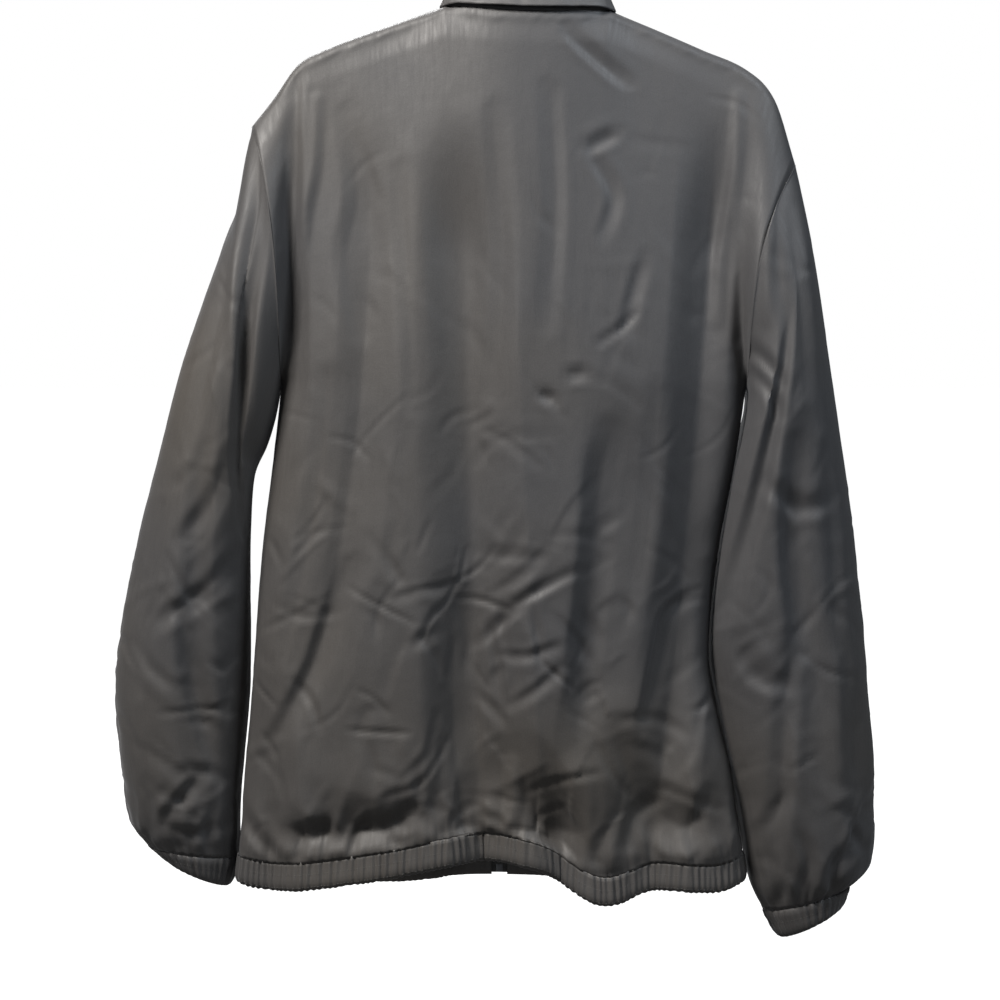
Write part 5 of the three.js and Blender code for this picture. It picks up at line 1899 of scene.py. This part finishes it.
@dataclass
class HangerBody:
    """The moulded hanger with its hook."""

    torso: Torso
    reach: float = 196.0
    thickness: float = 10.4
    neck_thickness: float = 6.4
    depth: float = 17.0
    apex_z: float = -76.0
    hook_radius: float = 20.0
    hook_bar: float = 3.4
    stem_z: float = -58.0

    def top_z(self, x: np.ndarray) -> np.ndarray:
        """Finds the height of the arms' top.

        Args:
            x: Places across.

        Returns:
            Their heights.
        """
        out = np.abs(x)
        half = self.torso.neck_half_width
        dip = 5 * ease((half + 36 - out) / 30)
        arm = self.torso.shoulder_z(np.where(x < 0, -1, 1) * np.maximum(out, half)) - 2.3 - dip
        return np.where(out >= half, arm, mix(self.apex_z, arm, np.minimum(out / half, 1) ** 1.6))

    def arms(self) -> np.ndarray:
        """Shapes the two arms.

        Returns:
            Their rings of points.
        """
        x = np.linspace(-self.reach, self.reach, 130)
        tip = np.sqrt(np.clip((self.reach - np.abs(x)) / 9 + 0.12, 0, 1))
        half = mix(self.neck_thickness, self.thickness, ease((np.abs(x) - 72) / 40)) / 2
        angle = np.linspace(0, 2 * math.pi, 28, endpoint=False)[None]
        half, tip, x = half[:, None], tip[:, None], x[:, None]
        rib = 1 - 0.16 * np.exp(-(((np.cos(angle) + 0.25) / 0.2) ** 2))
        reach = np.where(np.cos(angle) > 0, half, self.depth - half)
        high = reach * np.cos(angle) - half
        z = self.top_z(x) + mix(-half - 2, high, tip)
        return join(x, half * tip * rib * np.sin(angle), z)

    def hook(self) -> np.ndarray:
        """Shapes the stem and the hook.

        Returns:
            Their rings of points.
        """
        r = self.hook_radius + self.hook_bar
        bend = np.linspace(-0.62, 3.5, 10)
        knots = [(0, self.apex_z - 6), (0, self.stem_z - 4), (1.5, self.stem_z + 6)]
        knots += [(r * math.cos(a), -self.hook_radius + r * math.sin(a)) for a in bend]
        line = through(np.array([knots], float), 9)[0]
        tangent = unit(np.gradient(line, axis=0))
        angle = np.linspace(0, 2 * math.pi, 18, endpoint=False)[None]
        left = np.arange(len(line))
        size = self.hook_bar * np.sqrt(np.clip((len(line) - 1 - left) / 4 + 0.05, 0, 1))[:, None]
        x = line[:, :1] + tangent[:, 1:] * size * np.sin(angle)
        z = line[:, 1:] - tangent[:, :1] * size * np.sin(angle)
        return join(x, size * np.cos(angle), z)

    def build(self) -> None:
        """Makes the hanger."""
        points, faces = [], []
        for rings in (self.arms(), self.hook()):
            rows, around = rings.shape[:2]
            first = len(points)
            points += rings.reshape(-1, 3).tolist()
            middle = rings.mean(axis=1)
            half = rows // 2
            first_point = rings[half, 0]
            way = np.cross(rings[half, 1] - first_point, rings[half + 1, 0] - first_point)
            turned = np.dot(way, first_point - middle[half]) < 0
            loops = []
            for r in range(rows - 1):
                for c in range(around):
                    a, b = first + r * around + c, first + r * around + (c + 1) % around
                    loops.append((a, b, b + around, a + around))
            loops.append(tuple(first + c for c in range(around - 1, -1, -1)))
            loops.append(tuple(first + (rows - 1) * around + c for c in range(around)))
            faces += [loop[::-1] for loop in loops] if turned else loops
        mesh = bpy.data.meshes.new("hanger_body")
        mesh.from_pydata((np.array(points) * MM).tolist(), [], faces)
        mesh.polygons.foreach_set("use_smooth", np.ones(len(mesh.polygons), dtype=bool))
        piece = bpy.data.objects.new("hanger_body", mesh)
        bpy.context.scene.collection.objects.link(piece)
        dress(piece, PLASTIC.material())
        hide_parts("hanger")


@dataclass(frozen=True)
class Lamp:
    """A soft square lamp, facing the garment's middle."""

    name: str
    place: tuple[float, float, float]
    size: float
    power: float
    colour: tuple[float, float, float] = (1.0, 1.0, 1.0)

    def build(self, aim: tuple[float, float, float]) -> None:
        """Sets up the lamp.

        Args:
            aim: The place that it faces.
        """
        data = bpy.data.lights.new(self.name, "AREA")
        data.size, data.energy, data.color = self.size, self.power, self.colour
        lamp = bpy.data.objects.new(self.name, data)
        lamp.location = self.place
        lamp.rotation_euler = (Vector(aim) - Vector(self.place)).to_track_quat("-Z", "Y").to_euler()
        bpy.context.scene.collection.objects.link(lamp)


@dataclass
class Stage:
    """The floor, the light and the camera."""

    distance: float = 2.3
    width: float = 0.88
    elevation: float = 3.0
    aim: tuple[float, float, float] = (0.024, 0.0, -0.515)
    floor_z: float = -1.0
    floor_half: float = 60.0
    ambient: float = 0.07
    lamps: tuple[Lamp, ...] = (
        Lamp("key_light", (1.15, 1.15, 1.55), 0.7, 188, (1.0, 0.962, 0.915)),
        Lamp("cool_light", (-1.5, 0.9, 1.2), 0.8, 50, (0.84, 0.92, 1.0)),
        Lamp("low_light", (0.2, 2.2, -0.9), 0.9, 5, (0.86, 0.92, 1.0)),
        Lamp("front_light", (0.5, -2.0, 1.2), 1.2, 75),
    )

    def seen_or_lit(self, tree: bpy.types.NodeTree, seen: float, lit: float) -> bpy.types.NodeSocket:
        """Makes one value for what the camera sees and another for what falls on the garment.

        Args:
            tree: The material's or the world's nodes.
            seen: The value that is seen.
            lit: The value that lights.

        Returns:
            The value to use.
        """
        path, pick = tree.nodes.new("ShaderNodeLightPath"), tree.nodes.new("ShaderNodeMapRange")
        pick.inputs["To Min"].default_value, pick.inputs["To Max"].default_value = lit, seen
        tree.links.new(path.outputs["Is Camera Ray"], pick.inputs["Value"])
        return pick.outputs["Result"]

    def build(self) -> None:
        """Makes the floor, the light and the camera."""
        scene = bpy.context.scene
        half = self.floor_half
        mesh = bpy.data.meshes.new("floor")
        corners = [(-half, -half), (half, -half), (half, half), (-half, half)]
        mesh.from_pydata([(x, y, self.floor_z) for x, y in corners], [], [(0, 1, 2, 3)])
        floor = bpy.data.objects.new("floor", mesh)
        paint = FLOOR.material()
        shader = paint.node_tree.nodes["Principled BSDF"]
        shader.inputs["Emission Color"].default_value = (1, 1, 1, 1)
        glow = self.seen_or_lit(paint.node_tree, 1.0, 0.0)
        paint.node_tree.links.new(glow, shader.inputs["Emission Strength"])
        floor.data.materials.append(paint)
        scene.collection.objects.link(floor)
        world = bpy.data.worlds.new("studio")
        world.use_nodes = True
        back = world.node_tree.nodes["Background"]
        back.inputs["Color"].default_value = (1, 1, 1, 1)
        light = self.seen_or_lit(world.node_tree, 1.0, self.ambient)
        world.node_tree.links.new(light, back.inputs["Strength"])
        scene.world = world
        scene.view_settings.view_transform = "Standard"
        for lamp in self.lamps:
            lamp.build(self.aim)
        data = bpy.data.cameras.new("camera")
        data.lens = data.sensor_width * self.distance / self.width
        camera = bpy.data.objects.new("camera", data)
        lift = math.radians(self.elevation)
        place = Vector(self.aim) + Vector((0, math.cos(lift), math.sin(lift))) * self.distance
        camera.location = place
        camera.rotation_euler = (Vector(self.aim) - place).to_track_quat("-Z", "Y").to_euler()
        scene.collection.objects.link(camera)
        scene.camera = camera


HEM_STITCH_ROWS = (5, 8)
CUFF_STITCH_ROW = 5
EDGE_STITCHES = 5.0


def main() -> None:
    """Builds the windbreaker's looks and its stage."""
    logging.basicConfig(level=logging.INFO, format="%(message)s")
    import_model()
    Stage().build()
    torso = Torso()
    nylon = Nylon().material()
    panels = Panels(torso, nylon).build()
    Sleeves(torso, nylon).build()
    hem = HemBand(torso, nylon).build()
    cuffs = Cuffs(torso, nylon).build()
    collar = Collar(torso, nylon).build()
    FrontZip(torso).build()
    rows = {"hem": [hem.row_line(row) for row in HEM_STITCH_ROWS]}
    for name, cuff in cuffs.items():
        ring = cuff.row_line(CUFF_STITCH_ROW)
        rows[name] = [np.concatenate([ring, ring[:1]])]
    rows["collar"] = [collar.edge_line(EDGE_STITCHES)]
    for name in ("front_left", "front_right"):
        rows[name] = [panels[name].edge_line(EDGE_STITCHES)]
    Stitching().build(rows)
    HangerBody(torso).build()


if __name__ == "__main__":
    main()
